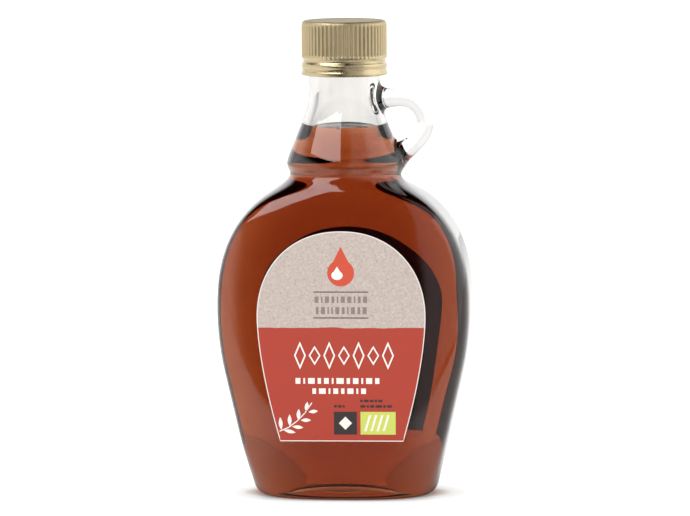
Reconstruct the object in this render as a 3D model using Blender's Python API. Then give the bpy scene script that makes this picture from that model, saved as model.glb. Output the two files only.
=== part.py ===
"""Maple syrup bottle: a flat oval glass flagon with a loop handle, filled, capped and labelled.

Units are metres. The bottle stands on z = 0 with its axis on Z, its broad front faces -Y and its handle is at +X.
Every outline is worked out from the driving dimensions below.
"""

import math

import bmesh
import bpy
from mathutils import Vector

# Body of the bottle, seen from the front
BODY_HALF_WIDTH = 0.0416
BODY_WIDEST_Z = 0.0625
SHOULDER_RISE = 0.0440
SHOULDER_POWER = 2.34
FLANK_ARC_RADIUS = 0.094
FLANK_LEAN = math.radians(13.0)

# Body of the bottle, seen from the side
BODY_HALF_DEPTH = 0.0226
BASE_TUCK = 0.0015
TUCK_HEIGHT = 0.025
FRONT_STRAIGHT_TOP = 0.084
FRONT_FALL_START = 2.2
FRONT_FALL_END = 1.6

# Cross-section: powers of its oval, from the foot up to flat broad faces with tight corners
FOOT_SQUARENESS = 2.6
FOOT_BLEND_HEIGHT = 0.022
BODY_SQUARENESS = 7.0
SQUARE_TOP_Z = 0.0920
CORNER_CROWDING = 0.45
INNER_SHARPNESS = 1.8

# Foot: a flat ring to stand on round a pushed-up middle
HEEL_RADIUS = 0.0035
FOOT_RING_WIDTH = 0.0045
PUSH_UP = 0.0012

# Waist above the shoulder: a groove under a round bead
SHOULDER_END_Z = 0.1005
GROOVE_Z = 0.1062
GROOVE_RADIUS = 0.0180
BEAD_Z = 0.1093
BEAD_RADIUS = 0.0192
BEAD_END_Z = 0.1125

# Neck, flaring from a straight top to the bead
NECK_RADIUS = 0.0116
NECK_STRAIGHT_Z = 0.1350
NECK_FLARE_LENGTH = 0.0115
NECK_FLARE_SLOPE = 0.405

# Mouth ring that the cap closes over
MOUTH_RING_Z = 0.1420
MOUTH_RING_SLOPE_HEIGHT = 0.0015
MOUTH_RING_RADIUS = 0.0122
MOUTH_TOP_Z = 0.1550
MOUTH_EDGE_RADIUS = 0.0008
MOUTH_CUT_MARGIN = 0.0020

# Glass thickness, and how high the syrup stands
WALL = 0.0031
FLOOR_EDGE_Z = 0.0030
FLOOR_DOME = 0.0006
FLOOR_CORNER = 0.0030
SYRUP_LEVEL_Z = 0.1209
FIT_GAP = 0.0003

# Loop handle on the +X side of the neck
LOOP_CENTRE_X = 0.0184
LOOP_CENTRE_Z = 0.1228
LOOP_RADIUS = 0.0081
LOOP_END_ANGLE = math.radians(-44.0)
LOOP_HALF_THICKNESS = 0.0028
LOOP_HALF_DEPTH = 0.0034
UPPER_ARM_LENGTH = 0.0095
UPPER_ROOT_GROWTH = 0.0012
LOWER_ARM_LENGTH = 0.0120
LOWER_ROOT_GROWTH = 0.0020

# Roll-on metal cap: a flared rim, a band and a groove under the ribs
CAP_BOTTOM_Z = 0.1386
CAP_TOP_Z = 0.1565
CAP_RADIUS = 0.0140
CAP_RIB_COUNT = 58
CAP_RIB_DEPTH = 0.0003
CAP_RIB_BOTTOM_Z = 0.1452
CAP_RIB_FADE = 0.0005
CAP_RIM_Z = 0.1393
CAP_WAIST_Z = 0.1408
CAP_BAND_Z = 0.1420
CAP_GROOVE_Z = 0.1433
CAP_RIM_RADIUS = 0.0142
CAP_BAND_RADIUS = 0.0141
CAP_EDGE_RADIUS = 0.0139
CAP_GROOVE_RADIUS = 0.0135
CAP_CORNER = 0.0012
CAP_WALL = 0.0007

# Paper labels, front and back
FRONT_LABEL = {
    "bottom": 0.0200,
    "widest": 0.0605,
    "top": 0.0890,
    "half_width": 0.0276,
    "foot_half_width": 0.0202,
}
BACK_LABEL = {
    "bottom": 0.0200,
    "widest": 0.0620,
    "top": 0.0866,
    "half_width": 0.0290,
    "foot_half_width": 0.0227,
}
LABEL_ARCH_POWER = 2.15
LABEL_SIDE_POWER = 1.6
LABEL_THICKNESS = 0.0003

# How finely the round shapes are cut into faces
BOTTLE_SEGMENTS = 56
CAVITY_SEGMENTS = 44
LOOP_SEGMENTS = 14
LABEL_COLUMNS = 10
EROSION_SAMPLES = 24


def clear_scene():
    """Removes every object of the open scene."""
    for thing in list(bpy.data.objects):
        bpy.data.objects.remove(thing, do_unlink=True)


def smooth_step(t):
    """Rises smoothly from 0 to 1 as t does."""
    t = min(1.0, max(0.0, t))
    return t * t * (3.0 - 2.0 * t)


def hermite(z, start, end):
    """Curve through two (z, value, slope) ends."""
    span = end[0] - start[0]
    t = (z - start[0]) / span
    return (
        (2 * t**3 - 3 * t**2 + 1) * start[1]
        + (t**3 - 2 * t**2 + t) * span * start[2]
        + (3 * t**2 - 2 * t**3) * end[1]
        + (t**3 - t**2) * span * end[2]
    )


def even_steps(low, high, count):
    """Values from low to high, both included."""
    return [low + (high - low) * i / (count - 1) for i in range(count)]


# Profiles of the glass


def shoulder_and_flank(z):
    """Half width of the body: an oval shoulder above its widest height, a flank that bends in below."""
    if z >= BODY_WIDEST_Z:
        rise = min(1.0, (z - BODY_WIDEST_Z) / SHOULDER_RISE)
        return BODY_HALF_WIDTH * (1.0 - rise**SHOULDER_POWER) ** (1.0 / SHOULDER_POWER)
    drop = BODY_WIDEST_Z - z
    arc_drop = FLANK_ARC_RADIUS * math.sin(FLANK_LEAN)
    if drop <= arc_drop:
        return BODY_HALF_WIDTH - (FLANK_ARC_RADIUS - math.sqrt(FLANK_ARC_RADIUS**2 - drop**2))
    arc_shift = FLANK_ARC_RADIUS * (1.0 - math.cos(FLANK_LEAN))
    return BODY_HALF_WIDTH - arc_shift - (drop - arc_drop) * math.tan(FLANK_LEAN)


def heel_inset(z):
    """How far the rounded heel pulls the outline in near the foot."""
    if z >= HEEL_RADIUS:
        return 0.0
    return HEEL_RADIUS - math.sqrt(HEEL_RADIUS**2 - (HEEL_RADIUS - z) ** 2)


def neck_radius(z):
    """Radius of the neck: straight at the top, then an even flare with a soft start."""
    drop = (NECK_STRAIGHT_Z - z) / NECK_FLARE_LENGTH
    reach = NECK_FLARE_SLOPE * NECK_FLARE_LENGTH
    if drop <= 0.0:
        return NECK_RADIUS
    if drop >= 1.0:
        return NECK_RADIUS + reach * (drop - 0.5)
    return NECK_RADIUS + reach * (drop**3 - drop**4 / 2.0)


def half_width(z):
    """Half of the glass's outer width at height z."""
    if z < SHOULDER_END_Z:
        return shoulder_and_flank(z) - heel_inset(z)
    if z < GROOVE_Z:
        step = 0.0001
        edge = shoulder_and_flank(SHOULDER_END_Z)
        slope = (edge - shoulder_and_flank(SHOULDER_END_Z - step)) / step
        return hermite(z, (SHOULDER_END_Z, edge, slope), (GROOVE_Z, GROOVE_RADIUS, 0.0))
    if z < BEAD_Z:
        return hermite(z, (GROOVE_Z, GROOVE_RADIUS, 0.0), (BEAD_Z, BEAD_RADIUS, 0.0))
    if z < BEAD_END_Z:
        end = (BEAD_END_Z, neck_radius(BEAD_END_Z), -NECK_FLARE_SLOPE)
        return hermite(z, (BEAD_Z, BEAD_RADIUS, 0.0), end)
    return neck_radius(z)


def half_depth(z):
    """Half of the glass's outer depth at height z: upright faces, then a round fall to the groove."""
    if z >= GROOVE_Z:
        return half_width(z)
    if z < FRONT_STRAIGHT_TOP:
        return BODY_HALF_DEPTH - heel_inset(z) - BASE_TUCK * (1.0 - smooth_step(z / TUCK_HEIGHT))
    t = (z - FRONT_STRAIGHT_TOP) / (GROOVE_Z - FRONT_STRAIGHT_TOP)
    left = (1.0 - t**FRONT_FALL_START) ** (1.0 / FRONT_FALL_END)
    return GROOVE_RADIUS + (BODY_HALF_DEPTH - GROOVE_RADIUS) * left


def squareness(z):
    """Power of the cross-section's oval: softer at the foot, squarish in the body, 2 for the round neck."""
    body = FOOT_SQUARENESS + (BODY_SQUARENESS - FOOT_SQUARENESS) * smooth_step(z / FOOT_BLEND_HEIGHT)
    blend = smooth_step((z - SQUARE_TOP_Z) / (GROOVE_Z - SQUARE_TOP_Z))
    return body + (2.0 - body) * blend


def thinned(profile, z, wall):
    """Half width of what is left inside a profile once a wall of even thickness is taken off."""
    best = math.inf
    for i in range(EROSION_SAMPLES + 1):
        shift = wall * (2.0 * i / EROSION_SAMPLES - 1.0)
        height = min(MOUTH_RING_Z, max(0.0, z + shift))
        best = min(best, profile(height) - math.sqrt(max(0.0, wall**2 - shift**2)))
    return best


def oval_ring(width, depth, power, z, segments):
    """Closed ring of points on an oval |x/width|^power + |y/depth|^power = 1, closer together at its corners."""
    crowding = min(CORNER_CROWDING, CORNER_CROWDING * (power - 2.0) / (BODY_SQUARENESS - 2.0))
    ring = []
    for i in range(segments):
        turn = 2.0 * math.pi * i / segments
        angle = turn + crowding * math.sin(4.0 * turn) / 4.0
        c, s = math.cos(angle), math.sin(angle)
        reach = (abs(c) ** power + abs(s) ** power) ** (-1.0 / power)
        ring.append(Vector((width * reach * c, depth * reach * s, z)))
    return ring


def inner_power(z):
    """Power of the hollow's section, squarer than the outer one so that the glass stays thin at its corners."""
    return 2.0 + (squareness(z) - 2.0) * INNER_SHARPNESS


# Mesh building


def skin_rings(bm, rings):
    """Joins rings of equal length with quads, and closes each end with a fan of faces round its centre."""
    loops = [[bm.verts.new(point) for point in ring] for ring in rings]
    count = len(loops[0])
    for low, high in zip(loops, loops[1:]):
        for i in range(count):
            j = (i + 1) % count
            bm.faces.new((low[i], low[j], high[j], high[i]))
    for ring, flip in ((loops[0], True), (loops[-1], False)):
        centre = bm.verts.new(sum((v.co for v in ring), Vector()) / count)
        for i in range(count):
            j = (i + 1) % count
            bm.faces.new((ring[j], ring[i], centre) if flip else (ring[i], ring[j], centre))


def make_object(name, bm, material=None, crease=math.radians(35.0)):
    """Turns a bmesh into a named, smoothly shaded object."""
    bmesh.ops.recalc_face_normals(bm, faces=bm.faces)
    mesh = bpy.data.meshes.new(name)
    bm.to_mesh(mesh)
    bm.free()
    mesh.shade_smooth()
    mesh.set_sharp_from_angle(angle=crease)
    thing = bpy.data.objects.new(name, mesh)
    bpy.context.scene.collection.objects.link(thing)
    if material is not None:
        mesh.materials.append(material)
    return thing


def make_material(name, colour, roughness, metallic=0.0, transmission=0.0, ior=1.5):
    """Principled material of one colour, given in linear light."""
    material = bpy.data.materials.new(name)
    material.use_nodes = True
    shader = material.node_tree.nodes["Principled BSDF"]
    shader.inputs["Base Color"].default_value = (*colour, 1.0)
    shader.inputs["Roughness"].default_value = roughness
    shader.inputs["Metallic"].default_value = metallic
    shader.inputs["Transmission Weight"].default_value = transmission
    shader.inputs["IOR"].default_value = ior
    return material


def add_boolean(thing, cutter, operation):
    """Adds a Boolean whose other shape stays in the scene as a wire guide."""
    modifier = thing.modifiers.new(cutter.name, "BOOLEAN")
    modifier.object = cutter
    modifier.operation = operation
    modifier.solver = "EXACT"
    cutter.hide_render = True
    cutter.display_type = "WIRE"


# Bottle


def outer_glass_heights():
    """Heights of the outer rings: close together at the heel, the groove and the bead."""
    heel = [HEEL_RADIUS * (1.0 - math.cos(math.radians(a))) for a in (25, 50, 70, 90)]
    body = even_steps(HEEL_RADIUS, BODY_WIDEST_Z, 7)[1:]
    shoulder = []
    for i in range(1, 9):
        shoulder.append(BODY_WIDEST_Z + (SHOULDER_END_Z - BODY_WIDEST_Z) * math.sin(math.radians(90.0 * i / 8)))
    waist = even_steps(SHOULDER_END_Z, GROOVE_Z, 4)[1:] + even_steps(GROOVE_Z, BEAD_Z, 4)[1:]
    waist += even_steps(BEAD_Z, BEAD_END_Z, 4)[1:]
    neck = even_steps(BEAD_END_Z, NECK_STRAIGHT_Z, 7)[1:]
    return heel + body + shoulder + waist + neck


def foot_rings():
    """Rings of the underside: the pushed-up middle, then the flat ring that the bottle stands on."""
    width, depth, power = half_width(0.0), half_depth(0.0), squareness(0.0)
    inner_width, inner_depth = width - FOOT_RING_WIDTH, depth - FOOT_RING_WIDTH
    rings = []
    for share in (0.35, 0.7, 0.9):
        height = PUSH_UP * (1.0 - share**2)
        rings.append(oval_ring(inner_width * share, inner_depth * share, power, height, BOTTLE_SEGMENTS))
    rings.append(oval_ring(inner_width, inner_depth, power, 0.0, BOTTLE_SEGMENTS))
    rings.append(oval_ring(width, depth, power, 0.0, BOTTLE_SEGMENTS))
    return rings


def outer_glass():
    """The glass's outer form without its handle, closed across the mouth."""
    rings = foot_rings()
    for z in outer_glass_heights():
        rings.append(oval_ring(half_width(z), half_depth(z), squareness(z), z, BOTTLE_SEGMENTS))
    mouth = [
        (NECK_RADIUS, MOUTH_RING_Z - MOUTH_RING_SLOPE_HEIGHT),
        (MOUTH_RING_RADIUS, MOUTH_RING_Z),
        (MOUTH_RING_RADIUS, MOUTH_TOP_Z - MOUTH_EDGE_RADIUS),
        (MOUTH_RING_RADIUS - MOUTH_EDGE_RADIUS, MOUTH_TOP_Z),
    ]
    for radius, z in mouth:
        rings.append(oval_ring(radius, radius, 2.0, z, BOTTLE_SEGMENTS))
    bm = bmesh.new()
    skin_rings(bm, rings)
    return bm


def inner_heights(top):
    """Heights of the cavity's rings above its rounded floor corner, up to the given top."""
    body = even_steps(FLOOR_EDGE_Z + FLOOR_CORNER, BODY_WIDEST_Z, 6)[1:]
    shoulder = []
    for i in range(1, 7):
        shoulder.append(BODY_WIDEST_Z + (SHOULDER_END_Z - BODY_WIDEST_Z) * math.sin(math.radians(90.0 * i / 6)))
    neck = even_steps(SHOULDER_END_Z, SYRUP_LEVEL_Z - FIT_GAP, 7)[1:]
    return [z for z in body + shoulder + neck if z <= top + 1e-9]


def inner_rings(gap, top):
    """Rings of the bottle's hollow, drawn in by a gap, from its domed floor to the given height."""
    floor_z = FLOOR_EDGE_Z + gap

    def inside(z):
        width = thinned(half_width, z, WALL) - gap
        depth = thinned(half_depth, z, WALL) - gap
        return width, depth

    corner = FLOOR_CORNER - gap
    width, depth = inside(floor_z + corner)
    power = inner_power(floor_z)
    rings = []
    for share in (0.3, 0.65, 1.0):
        height = floor_z + FLOOR_DOME * (1.0 - share**2)
        rings.append(oval_ring((width - corner) * share, (depth - corner) * share, power, height, CAVITY_SEGMENTS))
    for degrees in (30.0, 60.0, 90.0):
        turn = math.radians(degrees)
        inset = corner * (1.0 - math.sin(turn))
        height = floor_z + corner * (1.0 - math.cos(turn))
        rings.append(oval_ring(width - inset, depth - inset, inner_power(height), height, CAVITY_SEGMENTS))
    for z in inner_heights(top):
        width, depth = inside(z)
        rings.append(oval_ring(width, depth, inner_power(z), z, CAVITY_SEGMENTS))
    return rings


def cavity():
    """The bottle's hollow, from its floor out through the mouth."""
    rings = inner_rings(0.0, SYRUP_LEVEL_Z)
    for z in even_steps(SYRUP_LEVEL_Z, NECK_STRAIGHT_Z, 5)[1:] + [MOUTH_TOP_Z + MOUTH_CUT_MARGIN]:
        radius = thinned(half_width, z, WALL)
        rings.append(oval_ring(radius, radius, 2.0, z, CAVITY_SEGMENTS))
    bm = bmesh.new()
    skin_rings(bm, rings)
    return bm


def loop_path():
    """Centre line of the handle as (x, z, turn, growth): an arm out of the neck, an arc, an arm back in.

    The turn is the direction of travel, and the growth is how much thicker the bar is there on each side. The
    lower arm keeps a straight outer edge, so its centre line moves in as it grows.
    """
    path = []
    top_z = LOOP_CENTRE_Z + LOOP_RADIUS
    for i in range(5):
        share = 1.0 - i / 5.0
        growth = UPPER_ROOT_GROWTH * smooth_step(share)
        path.append((LOOP_CENTRE_X - UPPER_ARM_LENGTH * share, top_z, 0.0, growth))
    for angle in even_steps(math.radians(90.0), LOOP_END_ANGLE, 12):
        x = LOOP_CENTRE_X + LOOP_RADIUS * math.cos(angle)
        z = LOOP_CENTRE_Z + LOOP_RADIUS * math.sin(angle)
        path.append((x, z, angle - math.radians(90.0), 0.0))
    end_x, end_z, turn, _ = path[-1]
    for i in range(1, 6):
        reach = LOWER_ARM_LENGTH * i / 5.0
        growth = LOWER_ROOT_GROWTH * smooth_step(i / 5.0)
        x = end_x + reach * math.cos(turn) + growth * math.sin(turn)
        z = end_z + reach * math.sin(turn) - growth * math.cos(turn)
        path.append((x, z, turn, growth))
    return path


def loop_handle():
    """Solid oval bar bent into the loop, thicker where it grows out of the neck."""
    rings = []
    for x, z, turn, growth in loop_path():
        across = Vector((-math.sin(turn), 0.0, math.cos(turn)))
        ring = []
        for i in range(LOOP_SEGMENTS):
            angle = 2.0 * math.pi * i / LOOP_SEGMENTS
            offset = across * ((LOOP_HALF_THICKNESS + growth) * math.cos(angle))
            side = (LOOP_HALF_DEPTH + growth) * math.sin(angle)
            ring.append(Vector((x, side, z)) + offset)
        rings.append(ring)
    bm = bmesh.new()
    skin_rings(bm, rings)
    return bm


def build_bottle():
    """The glass: outer form with its handle grown on, hollowed out through the mouth."""
    glass = make_material("clear_glass", (0.88, 0.91, 0.89), 0.03, transmission=1.0, ior=1.51)
    bottle = make_object("bottle", outer_glass(), glass)
    add_boolean(bottle, make_object("handle_guide", loop_handle()), "UNION")
    add_boolean(bottle, make_object("hollow_guide", cavity()), "DIFFERENCE")
    return bottle


# Contents, cap and labels


def build_syrup():
    """The syrup, filling the hollow up to its level with a small gap to the glass."""
    amber = make_material("maple_syrup", (0.26, 0.045, 0.008), 0.02, ior=1.47)
    bm = bmesh.new()
    skin_rings(bm, inner_rings(FIT_GAP, SYRUP_LEVEL_Z - FIT_GAP))
    return make_object("syrup", bm, amber)


def cap_outline():
    """Cap's side and top as (radius, z, rib share) from the lower rim up to the flat top."""
    outline = [
        (CAP_EDGE_RADIUS, CAP_BOTTOM_Z, 0.0),
        (CAP_RIM_RADIUS, CAP_RIM_Z, 0.0),
        (CAP_EDGE_RADIUS, CAP_WAIST_Z, 0.0),
        (CAP_BAND_RADIUS, CAP_BAND_Z, 0.0),
        (CAP_GROOVE_RADIUS, CAP_GROOVE_Z, 0.0),
        (CAP_EDGE_RADIUS, CAP_RIB_BOTTOM_Z - CAP_RIB_FADE, 0.0),
        (CAP_RADIUS, CAP_RIB_BOTTOM_Z, 1.0),
        (CAP_RADIUS, CAP_TOP_Z - CAP_CORNER - CAP_RIB_FADE, 1.0),
    ]
    for degrees in (25.0, 60.0, 90.0):
        turn = math.radians(degrees)
        radius = CAP_EDGE_RADIUS - CAP_CORNER * (1.0 - math.cos(turn))
        outline.append((radius, CAP_TOP_Z - CAP_CORNER * (1.0 - math.sin(turn)), 0.0))
    return outline


def cap_ring(radius, z, rib_share):
    """Ring of the cap, with a crest and a valley for each rib where it is ribbed."""
    ring = []
    count = 2 * CAP_RIB_COUNT
    for i in range(count):
        angle = 2.0 * math.pi * i / count
        reach = radius - CAP_RIB_DEPTH * rib_share * (i % 2)
        ring.append(Vector((reach * math.cos(angle), reach * math.sin(angle), z)))
    return ring


def build_cap():
    """Metal cap: one closed cup, ribbed outside, that clears the mouth ring inside."""
    metal = make_material("gold_aluminium", (0.62, 0.50, 0.32), 0.35, metallic=1.0)
    inner_radius = CAP_RADIUS - CAP_WALL - CAP_RIB_DEPTH
    rings = [cap_ring(inner_radius, MOUTH_TOP_Z + FIT_GAP, 0.0)]
    rings.append(cap_ring(inner_radius, CAP_BOTTOM_Z, 0.0))
    rings += [cap_ring(radius, z, rib_share) for radius, z, rib_share in cap_outline()]
    bm = bmesh.new()
    skin_rings(bm, rings)
    return make_object("cap", bm, metal, crease=math.radians(50.0))


def label_half_width(label, z):
    """Half width of a label: a round arch above its widest height, sides that draw in below."""
    if z >= label["widest"]:
        rise = min(1.0, (z - label["widest"]) / (label["top"] - label["widest"]))
        return label["half_width"] * (1.0 - rise**LABEL_ARCH_POWER) ** (1.0 / LABEL_ARCH_POWER)
    drop = (label["widest"] - z) / (label["widest"] - label["bottom"])
    return label["half_width"] - (label["half_width"] - label["foot_half_width"]) * drop**LABEL_SIDE_POWER


def front_point(x, z, lift):
    """Point over the glass's front face at (x, z), lifted off it along its normal."""

    def fill(px, py, pz):
        power = squareness(pz)
        return abs(px / half_width(pz)) ** power + abs(py / half_depth(pz)) ** power

    power = squareness(z)
    y = -half_depth(z) * (1.0 - abs(x / half_width(z)) ** power) ** (1.0 / power)
    step = 0.00005
    normal = Vector((
        fill(x + step, y, z) - fill(x - step, y, z),
        fill(x, y + step, z) - fill(x, y - step, z),
        fill(x, y, z + step) - fill(x, y, z - step),
    ))
    return Vector((x, y, z)) + normal.normalized() * lift


def label_heights(label):
    """Heights of a label's rows, closer together towards the arch's top."""
    sides = even_steps(label["bottom"], label["widest"], 6)
    arch = []
    for i in range(1, 9):
        turn = math.radians(88.5 * i / 8)
        arch.append(label["widest"] + (label["top"] - label["widest"]) * math.sin(turn))
    return sides + arch


def build_label(name, label, side):
    """Paper label wrapped on the glass; side is 1 for the front and -1 for the back."""
    paper = make_material(name + "_paper", (0.50, 0.30, 0.26), 0.6)
    columns = LABEL_COLUMNS
    bm = bmesh.new()
    sheets = []
    for lift in (FIT_GAP, FIT_GAP + LABEL_THICKNESS):
        grid = []
        for z in label_heights(label):
            reach = label_half_width(label, z)
            row = []
            for i in range(columns + 1):
                point = front_point(reach * (2.0 * i / columns - 1.0), z, lift)
                row.append(bm.verts.new((point.x, side * point.y, point.z)))
            grid.append(row)
        sheets.append(grid)
    inner, outer = sheets
    rows = len(inner)
    for r in range(rows - 1):
        for c in range(columns):
            for grid in (inner, outer):
                bm.faces.new((grid[r][c], grid[r][c + 1], grid[r + 1][c + 1], grid[r + 1][c]))
    border = [(0, c) for c in range(columns)] + [(r, columns) for r in range(rows - 1)]
    border += [(rows - 1, c) for c in range(columns, 0, -1)] + [(r, 0) for r in range(rows - 1, 0, -1)]
    for (r, c), (r_next, c_next) in zip(border, border[1:] + border[:1]):
        bm.faces.new((inner[r][c], inner[r_next][c_next], outer[r_next][c_next], outer[r][c]))
    return make_object(name, bm, paper)


def main():
    """Builds the bottle and everything that is on and in it."""
    clear_scene()
    build_bottle()
    build_syrup()
    build_cap()
    build_label("label_front", FRONT_LABEL, 1.0)
    build_label("label_back", BACK_LABEL, -1.0)


main()
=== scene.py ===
"""Dressed scene of the maple syrup bottle: glass flagon, syrup, roll-on cap, paper labels and studio.

Units are metres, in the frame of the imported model: Z up, the broad front face towards -Y, the loop
handle at +X.
"""

import logging
import math
from collections.abc import Sequence
from dataclasses import dataclass, field
from enum import Enum
from typing import Any

import bmesh
import bpy
import numpy as np
from mathutils import Matrix, Vector


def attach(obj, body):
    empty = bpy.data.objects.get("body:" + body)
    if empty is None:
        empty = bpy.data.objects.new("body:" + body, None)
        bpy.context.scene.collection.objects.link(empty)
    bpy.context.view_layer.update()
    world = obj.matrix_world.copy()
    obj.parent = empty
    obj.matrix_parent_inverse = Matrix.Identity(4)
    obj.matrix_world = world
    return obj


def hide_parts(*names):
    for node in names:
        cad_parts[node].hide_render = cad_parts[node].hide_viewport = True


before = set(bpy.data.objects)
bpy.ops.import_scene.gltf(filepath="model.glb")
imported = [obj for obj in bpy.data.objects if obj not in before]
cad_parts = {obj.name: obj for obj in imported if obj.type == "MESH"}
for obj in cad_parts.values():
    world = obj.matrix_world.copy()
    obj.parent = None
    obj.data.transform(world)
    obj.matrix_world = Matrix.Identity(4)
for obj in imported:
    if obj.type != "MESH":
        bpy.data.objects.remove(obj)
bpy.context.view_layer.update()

LOG = logging.getLogger("syrup_bottle")
MM = 0.001

Point2 = tuple[float, float]
Face = tuple[int, ...]
Tree = bpy.types.NodeTree
Node = bpy.types.Node
Socket = bpy.types.NodeSocket


class Side(Enum):
    """The two broad faces of the bottle, by the direction along Y that they face."""

    FRONT = -1
    BACK = 1


class Ink(Enum):
    """Printing inks of the labels, by their colour."""

    WHITE = "#F3ECE6"
    CHARCOAL = "#352C2C"
    GREY = "#8A7C78"
    ORANGE = "#CF4A2E"
    LIME = "#C9D45F"


# Shared helpers


def linear(code: str) -> tuple[float, float, float, float]:
    """Turns an sRGB hex value into linear light.

    Args:
        code: colour as "#RRGGBB".

    Returns:
        Linear red, green and blue with an alpha of 1.
    """
    channels = [int(code[i : i + 2], 16) / 255.0 for i in (1, 3, 5)]
    red, green, blue = (c / 12.92 if c <= 0.04045 else ((c + 0.055) / 1.055) ** 2.4 for c in channels)
    return red, green, blue, 1.0


def smooth_step(t: np.ndarray) -> np.ndarray:
    """Rises smoothly from 0 to 1 as t does."""
    t = np.clip(t, 0.0, 1.0)
    return t * t * (3.0 - 2.0 * t)


def hermite(z: np.ndarray, start: tuple[float, float, float], end: tuple[float, float, float]) -> np.ndarray:
    """Curve through two ends.

    Args:
        z: heights to work the curve out at.
        start: height, value and slope of the lower end.
        end: height, value and slope of the upper end.

    Returns:
        Value of the curve at each height.
    """
    span = end[0] - start[0]
    t = (z - start[0]) / span
    rising = (2 * t**3 - 3 * t**2 + 1) * start[1] + (t**3 - 2 * t**2 + t) * span * start[2]
    return rising + (3 * t**2 - 2 * t**3) * end[1] + (t**3 - t**2) * span * end[2]


def add_node(
    tree: Tree,
    kind: str,
    settings: dict[str | int, Any] | None = None,
    links: dict[str | int, Socket] | None = None,
) -> Node:
    """Adds a node with its settings and links.

    Args:
        tree: node tree to add to.
        kind: Blender's type name of the node.
        settings: value by input socket, or by property of the node.
        links: output socket to link, by input socket.

    Returns:
        The new node.
    """
    node = tree.nodes.new(kind)
    for key, value in (settings or {}).items():
        if isinstance(key, str) and hasattr(node, key):
            setattr(node, key, value)
        else:
            node.inputs[key].default_value = value
    for key, socket in (links or {}).items():
        tree.links.new(socket, node.inputs[key])
    return node


def new_material(name: str) -> tuple[bpy.types.Material, Tree, Node]:
    """Starts a material.

    Args:
        name: name of the material.

    Returns:
        The material, its node tree and its shader node.
    """
    material = bpy.data.materials.new(name)
    material.use_nodes = True
    tree = material.node_tree
    return material, tree, tree.nodes["Principled BSDF"]


def loft(rings: Sequence[np.ndarray]) -> tuple[np.ndarray, list[Face]]:
    """Skins rings of equal length and closes each end with a fan round its centre.

    Args:
        rings: rings of points, in order along the form.

    Returns:
        All points, and the faces: a row for each pair of rings, then the first fan, then the last.
    """
    count = len(rings[0])
    points = np.concatenate([*rings, [rings[0].mean(axis=0)], [rings[-1].mean(axis=0)]])
    around = np.arange(count)
    after = (around + 1) % count
    faces: list[Face] = []
    for row in range(len(rings) - 1):
        low, high = row * count, (row + 1) * count
        quads = np.stack([low + around, low + after, high + after, high + around], axis=1)
        faces.extend(map(tuple, quads.tolist()))
    last = (len(rings) - 1) * count
    first_centre, last_centre = len(points) - 2, len(points) - 1
    faces.extend((int(b), int(a), first_centre) for a, b in zip(around, after))
    faces.extend((int(last + a), int(last + b), last_centre) for a, b in zip(around, after))
    return points, faces


def new_mesh_object(name: str, points: np.ndarray, faces: list[Face]) -> bpy.types.Object:
    """Makes a smoothly shaded mesh object.

    Args:
        name: name of the object.
        points: its points.
        faces: its faces as point numbers.

    Returns:
        The object, linked into the scene.
    """
    mesh = bpy.data.meshes.new(name)
    mesh.from_pydata([tuple(p) for p in points.tolist()], [], faces)
    mesh.update()
    mesh.shade_smooth()
    thing = bpy.data.objects.new(name, mesh)
    bpy.context.scene.collection.objects.link(thing)
    return thing


def dress(
    thing: bpy.types.Object,
    materials: Sequence[bpy.types.Material],
    face_slots: Sequence[int] | None = None,
) -> None:
    """Gives a piece its materials and its ride.

    Args:
        thing: the piece.
        materials: its materials, in slot order.
        face_slots: number of the material of each face, where there are several.
    """
    for material in materials:
        thing.data.materials.append(material)
    if face_slots is not None:
        thing.data.polygons.foreach_set("material_index", list(face_slots))
    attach(thing, "root")
    LOG.info("%s: %d faces", thing.name, len(thing.data.polygons))


# Finishes


@dataclass(frozen=True)
class PressedGlass:
    """Clear soda-lime glass, blown in a polished iron mould.

    The mould leaves long faint waves that bend what shows through; the surface itself is fire-bright.
    """

    name: str = "soda_lime_glass_moulded"
    tint: str = "#F6F5F3"
    ior: float = 1.5
    wave_length: float = 14 * MM
    wave_height: float = 0.012 * MM

    def material(self) -> bpy.types.Material:
        """Makes the material."""
        material, tree, shader = new_material(self.name)
        shader.inputs["Base Color"].default_value = linear(self.tint)
        shader.inputs["Roughness"].default_value = 0.0
        shader.inputs["IOR"].default_value = self.ior
        shader.inputs["Transmission Weight"].default_value = 1.0
        place = add_node(tree, "ShaderNodeTexCoord")
        waves = add_node(
            tree,
            "ShaderNodeTexNoise",
            {"Scale": 1.0 / self.wave_length, "Detail": 1.0, "Roughness": 0.3},
            {"Vector": place.outputs["Object"]},
        )
        bump = add_node(
            tree,
            "ShaderNodeBump",
            {"Strength": 1.0, "Distance": self.wave_height},
            {"Height": waves.outputs["Fac"]},
        )
        tree.links.new(bump.outputs["Normal"], shader.inputs["Normal"])
        return material


@dataclass(frozen=True)
class SyrupBody:
    """Maple syrup, a filtered clear liquid: amber where it is thin and deep red-brown where it is thick.

    Its skin lies inside the glass and bends nothing, because the glass's wetted wall does the bending. All
    of the colour comes from what the liquid takes out along the light's path.
    """

    name: str = "maple_syrup_filtered"
    kept: str = "#DB9C3A"
    density: float = 144.0

    def material(self) -> bpy.types.Material:
        """Makes the material."""
        material, tree, shader = new_material(self.name)
        shader.inputs["Base Color"].default_value = (1.0, 1.0, 1.0, 1.0)
        shader.inputs["Roughness"].default_value = 0.0
        shader.inputs["IOR"].default_value = 1.0
        shader.inputs["Transmission Weight"].default_value = 1.0
        volume = add_node(
            tree, "ShaderNodeVolumeAbsorption", {"Color": linear(self.kept), "Density": self.density}
        )
        output = tree.nodes["Material Output"]
        tree.links.new(volume.outputs["Volume"], output.inputs["Volume"])
        return material


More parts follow.
